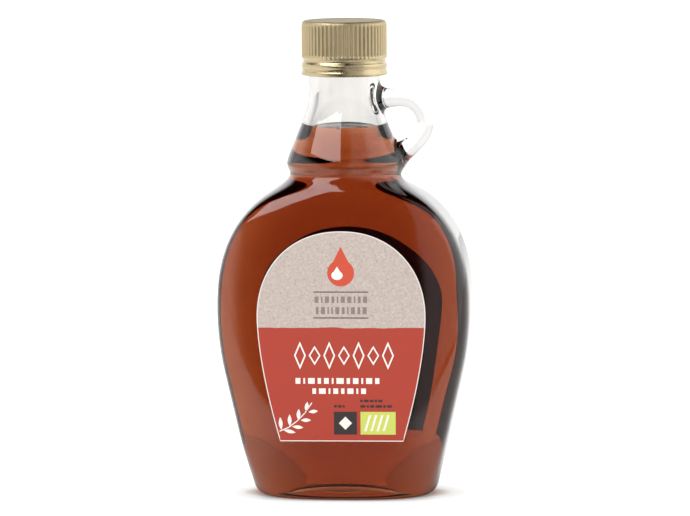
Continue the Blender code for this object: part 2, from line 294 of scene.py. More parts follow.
@dataclass(frozen=True)
class ClearSkin:
    """Free face or film of a still liquid: mirror smooth, it shows by what it bends and mirrors; a grey tint
    given to it is painted shade.
    """

    name: str
    ior: float
    tint: str = "#FFFFFF"

    def material(self) -> bpy.types.Material:
        """Makes the material."""
        material, _, shader = new_material(self.name)
        shader.inputs["Base Color"].default_value = linear(self.tint)
        shader.inputs["Roughness"].default_value = 0.0
        shader.inputs["IOR"].default_value = self.ior
        shader.inputs["Transmission Weight"].default_value = 1.0
        return material


@dataclass(frozen=True)
class GoldAluminium:
    """Aluminium sheet, spun and roll-formed, under a gold lacquer.

    The lacquer gives a pale champagne gold with a soft satin shine, cloudy where the rollers pressed it. The
    lacquer's grain is finer than it is drawn here, and is as coarse as it needs to be to show.
    """

    name: str = "aluminium_gold_lacquered_rolled"
    crest: str = "#C6B694"
    shade: str = "#B5A580"
    roughness: float = 0.5
    roughness_spread: tuple[float, float] = (-0.05, 0.08)
    band_shine: float = -0.22
    band_top: float = 145.0 * MM
    band_edge: tuple[float, float] = (-0.4 * MM, 0.2 * MM)
    cloud_size: float = 3 * MM
    grain_size: float = 0.25 * MM
    grain_height: float = 0.004 * MM

    def material(self) -> bpy.types.Material:
        """Makes the material."""
        material, tree, shader = new_material(self.name)
        shader.inputs["Metallic"].default_value = 1.0
        place = add_node(tree, "ShaderNodeTexCoord")
        clouds = add_node(
            tree, "ShaderNodeTexNoise", {"Scale": 1.0 / self.cloud_size, "Detail": 3.0},
            {"Vector": place.outputs["Object"]},
        )
        colour = add_node(
            tree, "ShaderNodeMix",
            {"data_type": "RGBA", 6: linear(self.shade), 7: linear(self.crest)},
            {0: clouds.outputs["Fac"]},
        )
        tree.links.new(colour.outputs[2], shader.inputs["Base Color"])
        grain = add_node(
            tree, "ShaderNodeTexNoise", {"Scale": 1.0 / self.grain_size, "Detail": 2.0},
            {"Vector": place.outputs["Object"]},
        )
        shine = add_node(
            tree, "ShaderNodeMapRange",
            {
                "From Min": 0.3,
                "From Max": 0.7,
                "To Min": self.roughness + self.roughness_spread[0],
                "To Max": self.roughness + self.roughness_spread[1],
            },
            {"Value": clouds.outputs["Fac"]},
        )
        # The plain band under the ribs is rolled smoother than they are.
        height = add_node(tree, "ShaderNodeSeparateXYZ", links={0: place.outputs["Object"]})
        smoother = add_node(
            tree, "ShaderNodeMapRange",
            {
                "From Min": self.band_top + self.band_edge[0],
                "From Max": self.band_top + self.band_edge[1],
                "To Min": self.band_shine,
                "To Max": 0.0,
            },
            {"Value": height.outputs["Z"]},
        )
        roughness = add_node(
            tree, "ShaderNodeMath", {"operation": "ADD"},
            {0: shine.outputs["Result"], 1: smoother.outputs["Result"]},
        )
        tree.links.new(roughness.outputs[0], shader.inputs["Roughness"])
        bump = add_node(
            tree, "ShaderNodeBump", {"Strength": 0.5, "Distance": self.grain_height},
            {"Height": grain.outputs["Fac"]},
        )
        tree.links.new(bump.outputs["Normal"], shader.inputs["Normal"])
        return material


@dataclass(frozen=True)
class PrintedKraft:
    """Recycled kraft paper, offset printed: a bare speckled field above, a flat warm red below.

    Pulp flecks and cloudy sizing show through the thin ink, and the ink's edge runs slightly uneven. Real
    flecks are finer than these, which are drawn as coarse as they need to be to show.
    """

    name: str = "kraft_paper_offset_printed"
    paper: str = "#B9ABA3"
    fleck: str = "#978980"
    pale: str = "#C9BDB5"
    red: str = "#B0371F"
    red_deep: str = "#A23120"
    boundary: float = 57.4 * MM
    boundary_blur: float = 0.05 * MM
    wander: float = 0.5 * MM
    wander_length: float = 9 * MM
    fibre_size: float = 0.45 * MM
    fibre_height: float = 0.012 * MM
    cloud_size: float = 0.9 * MM
    roughness: float = 0.62

    def material(self) -> bpy.types.Material:
        """Makes the material."""
        material, tree, shader = new_material(self.name)
        place = add_node(tree, "ShaderNodeTexCoord").outputs["Object"]
        fibres = add_node(
            tree, "ShaderNodeTexNoise", {"Scale": 1.0 / self.fibre_size, "Detail": 3.0, "Distortion": 0.6},
            {"Vector": place},
        )
        clouds = add_node(
            tree, "ShaderNodeTexNoise", {"Scale": 1.0 / self.cloud_size, "Detail": 2.0}, {"Vector": place}
        )
        dark_share = add_node(
            tree, "ShaderNodeMapRange", {"From Min": 0.52, "From Max": 0.68, "To Max": 0.75},
            {"Value": fibres.outputs["Fac"]},
        )
        pale_share = add_node(
            tree, "ShaderNodeMapRange", {"From Min": 0.48, "From Max": 0.66, "To Max": 0.8},
            {"Value": clouds.outputs["Fac"]},
        )
        bare = add_node(
            tree, "ShaderNodeMix", {"data_type": "RGBA", 6: linear(self.paper), 7: linear(self.pale)},
            {0: pale_share.outputs["Result"]},
        )
        flecked = add_node(
            tree, "ShaderNodeMix", {"data_type": "RGBA", 7: linear(self.fleck)},
            {0: dark_share.outputs["Result"], 6: bare.outputs[2]},
        )
        inked = add_node(
            tree, "ShaderNodeMix", {"data_type": "RGBA", 6: linear(self.red), 7: linear(self.red_deep)},
            {0: fibres.outputs["Fac"]},
        )
        split = add_node(tree, "ShaderNodeSeparateXYZ", links={0: place})
        edge = add_node(
            tree, "ShaderNodeTexNoise",
            {"noise_dimensions": "1D", "Scale": 1.0 / self.wander_length, "Detail": 2.0},
            {"W": split.outputs["X"]},
        )
        height = add_node(
            tree, "ShaderNodeMath", {"operation": "MULTIPLY_ADD", 1: 2.0 * self.wander},
            {0: edge.outputs["Fac"], 2: split.outputs["Z"]},
        )
        above = add_node(
            tree, "ShaderNodeMapRange",
            {
                "From Min": self.boundary + self.wander - self.boundary_blur,
                "From Max": self.boundary + self.wander + self.boundary_blur,
            },
            {"Value": height.outputs[0]},
        )
        field_colour = add_node(
            tree, "ShaderNodeMix", {"data_type": "RGBA"},
            {0: above.outputs["Result"], 6: inked.outputs[2], 7: flecked.outputs[2]},
        )
        tree.links.new(field_colour.outputs[2], shader.inputs["Base Color"])
        shader.inputs["Roughness"].default_value = self.roughness
        bump = add_node(
            tree, "ShaderNodeBump", {"Strength": 0.6, "Distance": self.fibre_height},
            {"Height": fibres.outputs["Fac"]},
        )
        tree.links.new(bump.outputs["Normal"], shader.inputs["Normal"])
        return material


@dataclass(frozen=True)
class FlatPrint:
    """Thin layer of ink or bare paper stock on a label: matt, with the paper's tooth showing through.

    The tooth is drawn coarser than real paper's, so that it shows.
    """

    name: str
    colour: str
    mottle: float = 0.12
    roughness: float = 0.55
    tooth_size: float = 0.4 * MM

    def material(self) -> bpy.types.Material:
        """Makes the material."""
        material, tree, shader = new_material(self.name)
        full = linear(self.colour)
        worn = tuple(c * (1.0 - self.mottle) for c in full[:3]) + (1.0,)
        place = add_node(tree, "ShaderNodeTexCoord")
        tooth = add_node(
            tree, "ShaderNodeTexNoise", {"Scale": 1.0 / self.tooth_size, "Detail": 2.0},
            {"Vector": place.outputs["Object"]},
        )
        colour = add_node(
            tree, "ShaderNodeMix", {"data_type": "RGBA", 6: full, 7: worn}, {0: tooth.outputs["Fac"]}
        )
        tree.links.new(colour.outputs[2], shader.inputs["Base Color"])
        shader.inputs["Roughness"].default_value = self.roughness
        return material


# Glass


@dataclass
class GlassForm:
    """Outline of the flagon's glass, which every piece on it and in it is fitted to."""

    body_half_width: float = 41.6 * MM
    widest_height: float = 62.5 * MM
    shoulder_rise: float = 44.0 * MM
    shoulder_power: float = 2.34
    flank_radius: float = 94.0 * MM
    flank_lean: float = math.radians(13.0)
    body_half_depth: float = 22.6 * MM
    base_tuck: float = 1.5 * MM
    tuck_height: float = 25.0 * MM
    straight_top: float = 84.0 * MM
    fall_start: float = 2.2
    fall_end: float = 1.6
    body_squareness: float = 7.0
    square_top: float = 92.0 * MM
    foot_squareness: float = 2.6
    foot_blend: float = 22.0 * MM
    heel_radius: float = 3.5 * MM
    foot_width: float = 4.5 * MM
    push_up: float = 1.2 * MM
    shoulder_end: float = 100.5 * MM
    groove_height: float = 106.2 * MM
    groove_radius: float = 18.0 * MM
    bead_height: float = 109.3 * MM
    bead_radius: float = 19.2 * MM
    bead_end: float = 112.5 * MM
    neck_radius: float = 11.6 * MM
    neck_straight: float = 135.0 * MM
    flare_length: float = 11.5 * MM
    flare_slope: float = 0.405
    mouth_height: float = 142.0 * MM
    mouth_radius: float = 12.2 * MM
    mouth_top: float = 155.0 * MM
    lip_radius: float = 0.8 * MM
    wall: float = 3.1 * MM
    floor_edge: float = 3.0 * MM
    floor_dome: float = 0.6 * MM
    floor_corner: float = 3.0 * MM
    syrup_level: float = 120.9 * MM
    meniscus: float = 0.8 * MM
    blend_length: float = 0.8 * MM
    blend_start: float = 4.0 * MM
    table_step: float = 0.1 * MM
    segments: int = 224
    corner_crowding: float = 0.45
    inner_sharpness: float = 1.8
    heights: np.ndarray = field(init=False, repr=False)
    width_table: np.ndarray = field(init=False, repr=False)
    depth_table: np.ndarray = field(init=False, repr=False)
    inner_width_table: np.ndarray = field(init=False, repr=False)
    inner_depth_table: np.ndarray = field(init=False, repr=False)

    def __post_init__(self) -> None:
        """Works out the outer and inner outlines at closely spaced heights."""
        self.heights = np.arange(0.0, self.mouth_top + self.table_step, self.table_step)
        self.width_table = self.eased(self.drawn_width(self.heights))
        self.depth_table = self.eased(self.drawn_depth(self.heights))
        self.inner_width_table = self.thinned(self.width_table)
        self.inner_depth_table = self.thinned(self.depth_table)

    def body_outline(self, z: np.ndarray) -> np.ndarray:
        """Half width of the body: an oval shoulder above its widest height, a flank that bends in below."""
        rise = np.clip((z - self.widest_height) / self.shoulder_rise, 0.0, 1.0)
        shoulder = self.body_half_width * (1.0 - rise**self.shoulder_power) ** (1.0 / self.shoulder_power)
        drop = np.maximum(self.widest_height - z, 0.0)
        arc_drop = self.flank_radius * math.sin(self.flank_lean)
        on_arc = np.minimum(drop, arc_drop)
        bend = self.flank_radius - np.sqrt(self.flank_radius**2 - on_arc**2)
        flank = self.body_half_width - bend - (drop - on_arc) * math.tan(self.flank_lean)
        return np.where(z >= self.widest_height, shoulder, flank)

    def heel_inset(self, z: np.ndarray) -> np.ndarray:
        """How far the rounded heel pulls the outline in near the foot."""
        below = np.clip(self.heel_radius - z, 0.0, self.heel_radius)
        return self.heel_radius - np.sqrt(self.heel_radius**2 - below**2)

    def neck_outline(self, z: np.ndarray) -> np.ndarray:
        """Radius of the neck: straight at the top, then an even flare with a soft start."""
        drop = np.maximum((self.neck_straight - z) / self.flare_length, 0.0)
        reach = self.flare_slope * self.flare_length
        return self.neck_radius + reach * np.where(drop < 1.0, drop**3 - drop**4 / 2.0, drop - 0.5)

    def drawn_width(self, z: np.ndarray) -> np.ndarray:
        """Half width as drawn, before the corners between its parts are eased."""
        edge, before = self.body_outline(np.array([self.shoulder_end, self.shoulder_end - self.table_step]))
        start = (self.shoulder_end, float(edge), float((edge - before) / self.table_step))
        groove = (self.groove_height, self.groove_radius, 0.0)
        bead = (self.bead_height, self.bead_radius, 0.0)
        end = (self.bead_end, float(self.neck_outline(np.array(self.bead_end))), -self.flare_slope)
        zones = [z < self.shoulder_end, z < self.groove_height, z < self.bead_height, z < self.bead_end]
        curves = [
            self.body_outline(z) - self.heel_inset(z),
            hermite(z, start, groove),
            hermite(z, groove, bead),
            hermite(z, bead, end),
        ]
        return np.select(zones, curves, self.neck_outline(z))

    def drawn_depth(self, z: np.ndarray) -> np.ndarray:
        """Half depth as drawn: upright faces, then a round fall to the groove."""
        tuck = self.base_tuck * (1.0 - smooth_step(z / self.tuck_height))
        upright = self.body_half_depth - self.heel_inset(z) - tuck
        t = np.clip((z - self.straight_top) / (self.groove_height - self.straight_top), 0.0, 1.0)
        left = (1.0 - t**self.fall_start) ** (1.0 / self.fall_end)
        falling = self.groove_radius + (self.body_half_depth - self.groove_radius) * left
        zones = [z < self.straight_top, z < self.groove_height]
        return np.select(zones, [upright, falling], self.drawn_width(z))

    def eased(self, table: np.ndarray) -> np.ndarray:
        """Rounds off the corners of an outline above the heel, as the mould does."""
        reach = int(3.0 * self.blend_length / self.table_step)
        offsets = np.arange(-reach, reach + 1) * self.table_step
        kernel = np.exp(-0.5 * (offsets / self.blend_length) ** 2)
        padded = np.pad(table, reach, mode="edge")
        soft = np.convolve(padded, kernel / kernel.sum(), mode="valid")
        share = smooth_step((self.heights - self.blend_start) / self.blend_start)
        return table + (soft - table) * share

    def thinned(self, table: np.ndarray) -> np.ndarray:
        """Outline of the hollow, an even wall in from an outer outline."""
        reach = int(self.wall / self.table_step)
        padded = np.pad(table, reach, mode="edge")
        best = np.full_like(table, np.inf)
        for i in range(2 * reach + 1):
            shift = (i - reach) * self.table_step
            inset = math.sqrt(max(0.0, self.wall**2 - shift**2))
            best = np.minimum(best, padded[i : i + len(table)] - inset)
        return self.eased(best)

    def width(self, z: np.ndarray | float) -> np.ndarray:
        """Outer half width at heights z."""
        return np.interp(z, self.heights, self.width_table)

    def depth(self, z: np.ndarray | float) -> np.ndarray:
        """Outer half depth at heights z."""
        return np.interp(z, self.heights, self.depth_table)

    def inner_width(self, z: np.ndarray | float) -> np.ndarray:
        """Half width of the hollow at heights z."""
        return np.interp(z, self.heights, self.inner_width_table)

    def inner_depth(self, z: np.ndarray | float) -> np.ndarray:
        """Half depth of the hollow at heights z."""
        return np.interp(z, self.heights, self.inner_depth_table)

    def squareness(self, z: np.ndarray | float) -> np.ndarray:
        """Power of the cross-section's oval: softer at the foot, squarish above, 2 for the round neck."""
        height = np.asarray(z)
        body = self.foot_squareness + (self.body_squareness - self.foot_squareness) * smooth_step(
            height / self.foot_blend
        )
        blend = smooth_step((height - self.square_top) / (self.groove_height - self.square_top))
        return body + (2.0 - body) * blend

    def section(
        self, width: float, depth: float, z: float, power_height: float, sharpness: float = 1.0
    ) -> np.ndarray:
        """Ring of points round a cross-section, closer together at the corners of a squarish one.

        Args:
            width: half width of the ring.
            depth: half depth of the ring.
            z: height of the ring.
            power_height: height whose squareness the ring has.
            sharpness: how much further from a round section it is than the glass's outer face.

        Returns:
            The ring's points.
        """
        turns = np.arange(self.segments) * (2.0 * math.pi / self.segments)
        power = float(self.squareness(power_height))
        crowding = self.corner_crowding * (power - 2.0) / (self.body_squareness - 2.0)
        power = 2.0 + (power - 2.0) * sharpness
        angles = turns + crowding * np.sin(4.0 * turns) / 4.0
        c, s = np.cos(angles), np.sin(angles)
        reach = (np.abs(c) ** power + np.abs(s) ** power) ** (-1.0 / power)
        return np.stack([width * reach * c, depth * reach * s, np.full(self.segments, z)], axis=1)

    def front_points(self, x: np.ndarray, z: np.ndarray, lift: float, side: Side) -> np.ndarray:
        """Points over one broad face of the glass.

        Args:
            x: distances to the right of the middle, as seen from that side.
            z: heights.
            lift: distance off the glass along its normal.
            side: which broad face.

        Returns:
            The points.
        """

        def fill(px: np.ndarray, py: np.ndarray, pz: np.ndarray) -> np.ndarray:
            power = self.squareness(pz)
            return np.abs(px / self.width(pz)) ** power + np.abs(py / self.depth(pz)) ** power

        power = self.squareness(z)
        y = -self.depth(z) * (1.0 - np.abs(x / self.width(z)) ** power) ** (1.0 / power)
        step = self.table_step
        normal = np.stack([
            fill(x + step, y, z) - fill(x - step, y, z),
            fill(x, y + step, z) - fill(x, y - step, z),
            fill(x, y, z + step) - fill(x, y, z - step),
        ], axis=1)
        normal /= np.linalg.norm(normal, axis=1)[:, None]
        points = np.stack([x, y, z], axis=1) + normal * lift
        return points if side is Side.FRONT else points * (-1.0, -1.0, 1.0)

    def contact_height(self) -> float:
        """Height at which the syrup's edge meets the glass."""
        return self.syrup_level + self.meniscus

    def hollow_rings(
        self, skin: float, top: float, sink: float = 0.0, sharpness: float | None = None
    ) -> list[np.ndarray]:
        """Rings of the hollow from the middle of its domed floor up its wall.

        Args:
            skin: how far the rings lie out into the glass.
            top: height of the last ring.
            sink: how much further down into the glass the floor lies.
            sharpness: how far from a round section the rings are, if not as the hollow's.

        Returns:
            The rings, in order.
        """
        floor = self.floor_edge - skin - sink
        corner = self.floor_corner + skin
        sharp = self.inner_sharpness if sharpness is None else sharpness
        corner_top = floor + corner
        width = float(self.inner_width(corner_top)) + skin
        depth = float(self.inner_depth(corner_top)) + skin
        rings = []
        for share in np.linspace(0.02, 1.0, 40)[:-1]:
            height = floor + self.floor_dome * (1.0 - share**2)
            flat_width, flat_depth = (width - corner) * share, (depth - corner) * share
            rings.append(self.section(flat_width, flat_depth, height, floor, sharp))
        for turn in np.radians(np.linspace(0.0, 90.0, 13)):
            inset = corner * (1.0 - math.sin(turn))
            height = floor + corner * (1.0 - math.cos(turn))
            rings.append(self.section(width - inset, depth - inset, height, height, sharp))
        marks = {round(z, 7) for z in np.arange(corner_top + 0.6 * MM, top, 0.7 * MM)}
        marks |= {round(top, 7)}
        if top > self.contact_height():
            marks |= {round(self.contact_height(), 7)}
        for z in sorted(marks):
            wide, deep = float(self.inner_width(z)) + skin, float(self.inner_depth(z)) + skin
            rings.append(self.section(wide, deep, z, z, sharp))
        return rings


@dataclass
class LoopHandle:
    """Small solid loop on the right of the neck: an arm out, an arc and an arm back, thicker at its roots."""

    form: GlassForm
    centre_x: float = 18.4 * MM
    centre_z: float = 122.8 * MM
    radius: float = 8.1 * MM
    end_angle: float = math.radians(-44.0)
    half_thickness: float = 2.8 * MM
    half_depth: float = 3.4 * MM
    upper_arm: float = 9.5 * MM
    upper_growth: float = 1.2 * MM
    lower_arm: float = 12.0 * MM
    lower_growth: float = 2.0 * MM
    root_depth: float = 1.2 * MM
    fillet: float = 2.6 * MM
    joint_span: tuple[float, float] = (98.0 * MM, 139.5 * MM)
    joint_side: float = 4.0 * MM
    joint_skin: float = 0.15 * MM
    joint_passes: int = 5
    segments: int = 56
    upper_rings: int = 24
    arc_rings: int = 60
    lower_rings: int = 30

    def path(self) -> np.ndarray:
        """Centre line as rows of x, z, turn and growth.

        The lower arm keeps a straight outer edge, so its centre line moves in as it grows.
        """
        rows = []
        for share in np.linspace(1.0, 0.0, self.upper_rings + 1)[:-1]:
            growth = self.upper_growth * float(smooth_step(np.array(share)))
            rows.append((self.centre_x - self.upper_arm * share, self.centre_z + self.radius, 0.0, growth))
        for angle in np.linspace(math.pi / 2.0, self.end_angle, self.arc_rings + 1):
            x = self.centre_x + self.radius * math.cos(angle)
            z = self.centre_z + self.radius * math.sin(angle)
            rows.append((x, z, angle - math.pi / 2.0, 0.0))
        end_x, end_z, turn, _ = rows[-1]
        for share in np.linspace(0.0, 1.0, self.lower_rings + 1)[1:]:
            growth = self.lower_growth * float(smooth_step(np.array(share)))
            x = end_x + self.lower_arm * share * math.cos(turn) + growth * math.sin(turn)
            z = end_z + self.lower_arm * share * math.sin(turn) - growth * math.cos(turn)
            rows.append((x, z, turn, growth))
        return np.array(rows)

    def neck_distance(self, points: np.ndarray) -> np.ndarray:
        """Signed distance of points from the neck's outer face, positive outside."""
        z = points[:, 2]
        slope = (self.form.width(z + 0.2 * MM) - self.form.width(z - 0.2 * MM)) / (0.4 * MM)
        radial = np.hypot(points[:, 0], points[:, 1]) - self.form.width(z)
        return radial / np.sqrt(1.0 + slope**2)

    def bar_distance(self, points: np.ndarray) -> np.ndarray:
        """Signed distance of points from the bar's face, positive outside."""
        path = self.path()
        start, end = path[:-1, :2], path[1:, :2]
        along = end - start
        flat = points[:, None, [0, 2]] - start[None]
        share = np.clip((flat * along).sum(axis=2) / (along**2).sum(axis=1), 0.0, 1.0)
        gap = np.linalg.norm(flat - share[..., None] * along, axis=2)
        nearest = gap.argmin(axis=1)
        rows = np.arange(len(points))
        in_plane, t = gap[rows, nearest], share[rows, nearest]
        growth = path[nearest, 3] * (1.0 - t) + path[nearest + 1, 3] * t
        y = points[:, 1]
        reach = np.maximum(np.hypot(in_plane, y), 1e-7)
        scale = np.hypot(in_plane / (self.half_thickness + growth), y / (self.half_depth + growth))
        return reach - reach / np.maximum(scale, 1e-4)

    def joined_distance(self, points: np.ndarray) -> np.ndarray:
        """Signed distance from neck and bar together, with a soft fillet between them."""
        neck, bar = self.neck_distance(points), self.bar_distance(points)
        share = np.clip(0.5 + 0.5 * (neck - bar) / self.fillet, 0.0, 1.0)
        return neck * (1.0 - share) + bar * share - self.fillet * share * (1.0 - share)

    def gradient(self, points: np.ndarray) -> np.ndarray:
        """Direction in which the joined distance grows at each point."""
        step = 0.03 * MM
        columns = []
        for axis in range(3):
            shift = np.zeros(3)
            shift[axis] = step
            change = self.joined_distance(points + shift) - self.joined_distance(points - shift)
            columns.append(change / (2.0 * step))
        return np.stack(columns, axis=1)

    def bar(self) -> tuple[np.ndarray, list[Face]]:
        """Closed bar whose two ends follow the neck, sunk a little way into its glass."""
        angles = np.arange(self.segments) * (2.0 * math.pi / self.segments)
        rings = []
        for x, z, turn, growth in self.path():
            across = (self.half_thickness + growth) * np.cos(angles)
            ring = np.stack([
                x - math.sin(turn) * across,
                (self.half_depth + growth) * np.sin(angles),
                z + math.cos(turn) * across,
            ], axis=1)
            rings.append(ring)
        grid = np.array(rings)
        arc_start, arc_end = self.upper_rings + 1, self.upper_rings + self.arc_rings
        upper = self.trimmed(grid[:arc_start][::-1])[::-1]
        lower = self.trimmed(grid[arc_end:])
        return loft(list(np.concatenate([upper, grid[arc_start:arc_end], lower])))

    def trimmed(self, rows: np.ndarray) -> np.ndarray:
        """Ends each line of an arm where it is sunk deep enough in the glass.

        Args:
            rows: rings of the arm, outermost first.

        Returns:
            As many rings, evenly spaced along each line up to its end.
        """
        count = len(rows)
        depth = self.neck_distance(rows.reshape(-1, 3)).reshape(count, -1)
        steps = np.arange(count, dtype=float)
        result = np.empty_like(rows)
        for j in range(rows.shape[1]):
            end = np.interp(self.root_depth, -depth[:, j], steps)
            at = np.linspace(0.0, end, count)
            for axis in range(3):
                result[:, j, axis] = np.interp(at, steps, rows[:, j, axis])
        return result


@dataclass
class Flagon:
    """The glass: outer form, mouth, hollow and loop handle in one closed mesh.

    Syrup bends light nearly as much as glass does, so the wetted part of the inner wall hardly bends it.
    """

    form: GlassForm
    waist: float = 100.0 * MM
    body_step: float = 0.8 * MM
    neck_step: float = 0.45 * MM
    glass: PressedGlass = PressedGlass()
    wetted: PressedGlass = PressedGlass(name="soda_lime_glass_wetted", ior=1.02, wave_height=0.0)

    def underside(self) -> list[np.ndarray]:
        """Rings from the middle of the pushed-up base to the foot ring."""
        form = self.form
        width, depth = float(form.width(0.0)), float(form.depth(0.0))
        inner_width, inner_depth = width - form.foot_width, depth - form.foot_width
        shares = np.linspace(0.02, 1.0, 60)
        heights = form.push_up * np.maximum(1.0 - shares**2, 0.0)
        rings = []
        for share, height in zip(shares, heights):
            rings.append(form.section(inner_width * share, inner_depth * share, float(height), 0.0))
        for share in (0.35, 0.7):
            inset = form.foot_width * (1.0 - share)
            rings.append(form.section(width - inset, depth - inset, 0.0, 0.0))
        return rings

    def outside(self) -> list[np.ndarray]:
        """Rings from the heel up to the mouth's lip."""
        form = self.form
        heel = form.heel_radius * (1.0 - np.cos(np.radians(np.arange(0.0, 91.0, 7.5))))
        body = np.arange(form.heel_radius + 0.7 * MM, self.waist, self.body_step)
        neck = np.arange(self.waist + 0.2 * MM, form.mouth_height - 1.5 * MM, self.neck_step)
        rings = []
        for z in np.concatenate([heel, body, neck]):
            rings.append(form.section(float(form.width(z)), float(form.depth(z)), float(z), float(z)))
        lip = [(form.mouth_radius, form.mouth_height)]
        for turn in np.radians(np.linspace(0.0, 90.0, 7)):
            radius = form.mouth_radius - form.lip_radius * (1.0 - math.cos(turn))
            lip.append((radius, form.mouth_top - form.lip_radius * (1.0 - math.sin(turn))))
        for radius, z in lip:
            rings.append(form.section(radius, radius, z, form.mouth_top))
        return rings

    def build(self) -> bpy.types.Object:
        """Builds and dresses the glass.

        Returns:
            The piece that stands for the bottle's solid.
        """
        outer = self.underside() + self.outside()
        inner = self.form.hollow_rings(0.0, self.form.mouth_top)[::-1]
        points, faces = loft(outer + inner)
        count = self.form.segments
        contact = round(self.form.contact_height(), 7)
        slots = []
        for row in range(len(outer) + len(inner) - 1):
            wet = row >= len(outer) and inner[row - len(outer)][0, 2] <= contact + 1e-6
            slots += [int(wet)] * count
        slots += [0] * count + [1] * count
        bottle = new_mesh_object("bottle_glass", points, faces)
        dress(bottle, [self.glass.material(), self.wetted.material()], slots)
        self.grow_handle(bottle)
        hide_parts("bottle")
        return bottle

    def grow_handle(self, bottle: bpy.types.Object) -> None:
        """Joins the loop handle to the glass and rounds the joint.

        Args:
            bottle: the glass without its handle.
        """
        handle = LoopHandle(self.form)
        bar = new_mesh_object("loop_guide", *handle.bar())
        bar.data.materials.append(bottle.data.materials[0])
        union = bottle.modifiers.new("handle", "BOOLEAN")
        union.object = bar
        union.operation = "UNION"
        union.solver = "EXACT"
        whole = bottle.evaluated_get(bpy.context.evaluated_depsgraph_get())
        joined = bpy.data.meshes.new_from_object(whole)
        bottle.modifiers.clear()
        bottle.data = joined
        bpy.data.objects.remove(bar, do_unlink=True)
        points = np.empty(len(joined.vertices) * 3)
        joined.vertices.foreach_get("co", points)
        points = points.reshape(-1, 3)
        x, z = points[:, 0], points[:, 2]
        low, high = handle.joint_span
        picked = np.flatnonzero((x > handle.joint_side) & (z > low) & (z < high))
        neck, loop = handle.neck_distance(points[picked]), handle.bar_distance(points[picked])
        outside = np.abs(np.minimum(neck, loop)) < handle.joint_skin
        close = np.abs(neck - loop) < 1.5 * handle.fillet
        picked = picked[outside & close]
        moved = points[picked]
        for _ in range(handle.joint_passes):
            slope = handle.gradient(moved)
            size = np.maximum((slope**2).sum(axis=1), 0.05)
            moved = moved - slope * (handle.joined_distance(moved) / size)[:, None]
        points[picked] = moved
        joined.vertices.foreach_set("co", points.reshape(-1))
        joined.update()
        joined.shade_smooth()
        normals = np.empty(len(joined.vertices) * 3)
        joined.vertices.foreach_get("normal", normals)
        normals = normals.reshape(-1, 3)
        slope = handle.gradient(moved)
        normals[picked] = slope / np.linalg.norm(slope, axis=1)[:, None]
        joined.normals_split_custom_set_from_vertices([tuple(n) for n in normals.tolist()])
        LOG.info("loop handle: %d points of its joint rounded", len(picked))


# Syrup


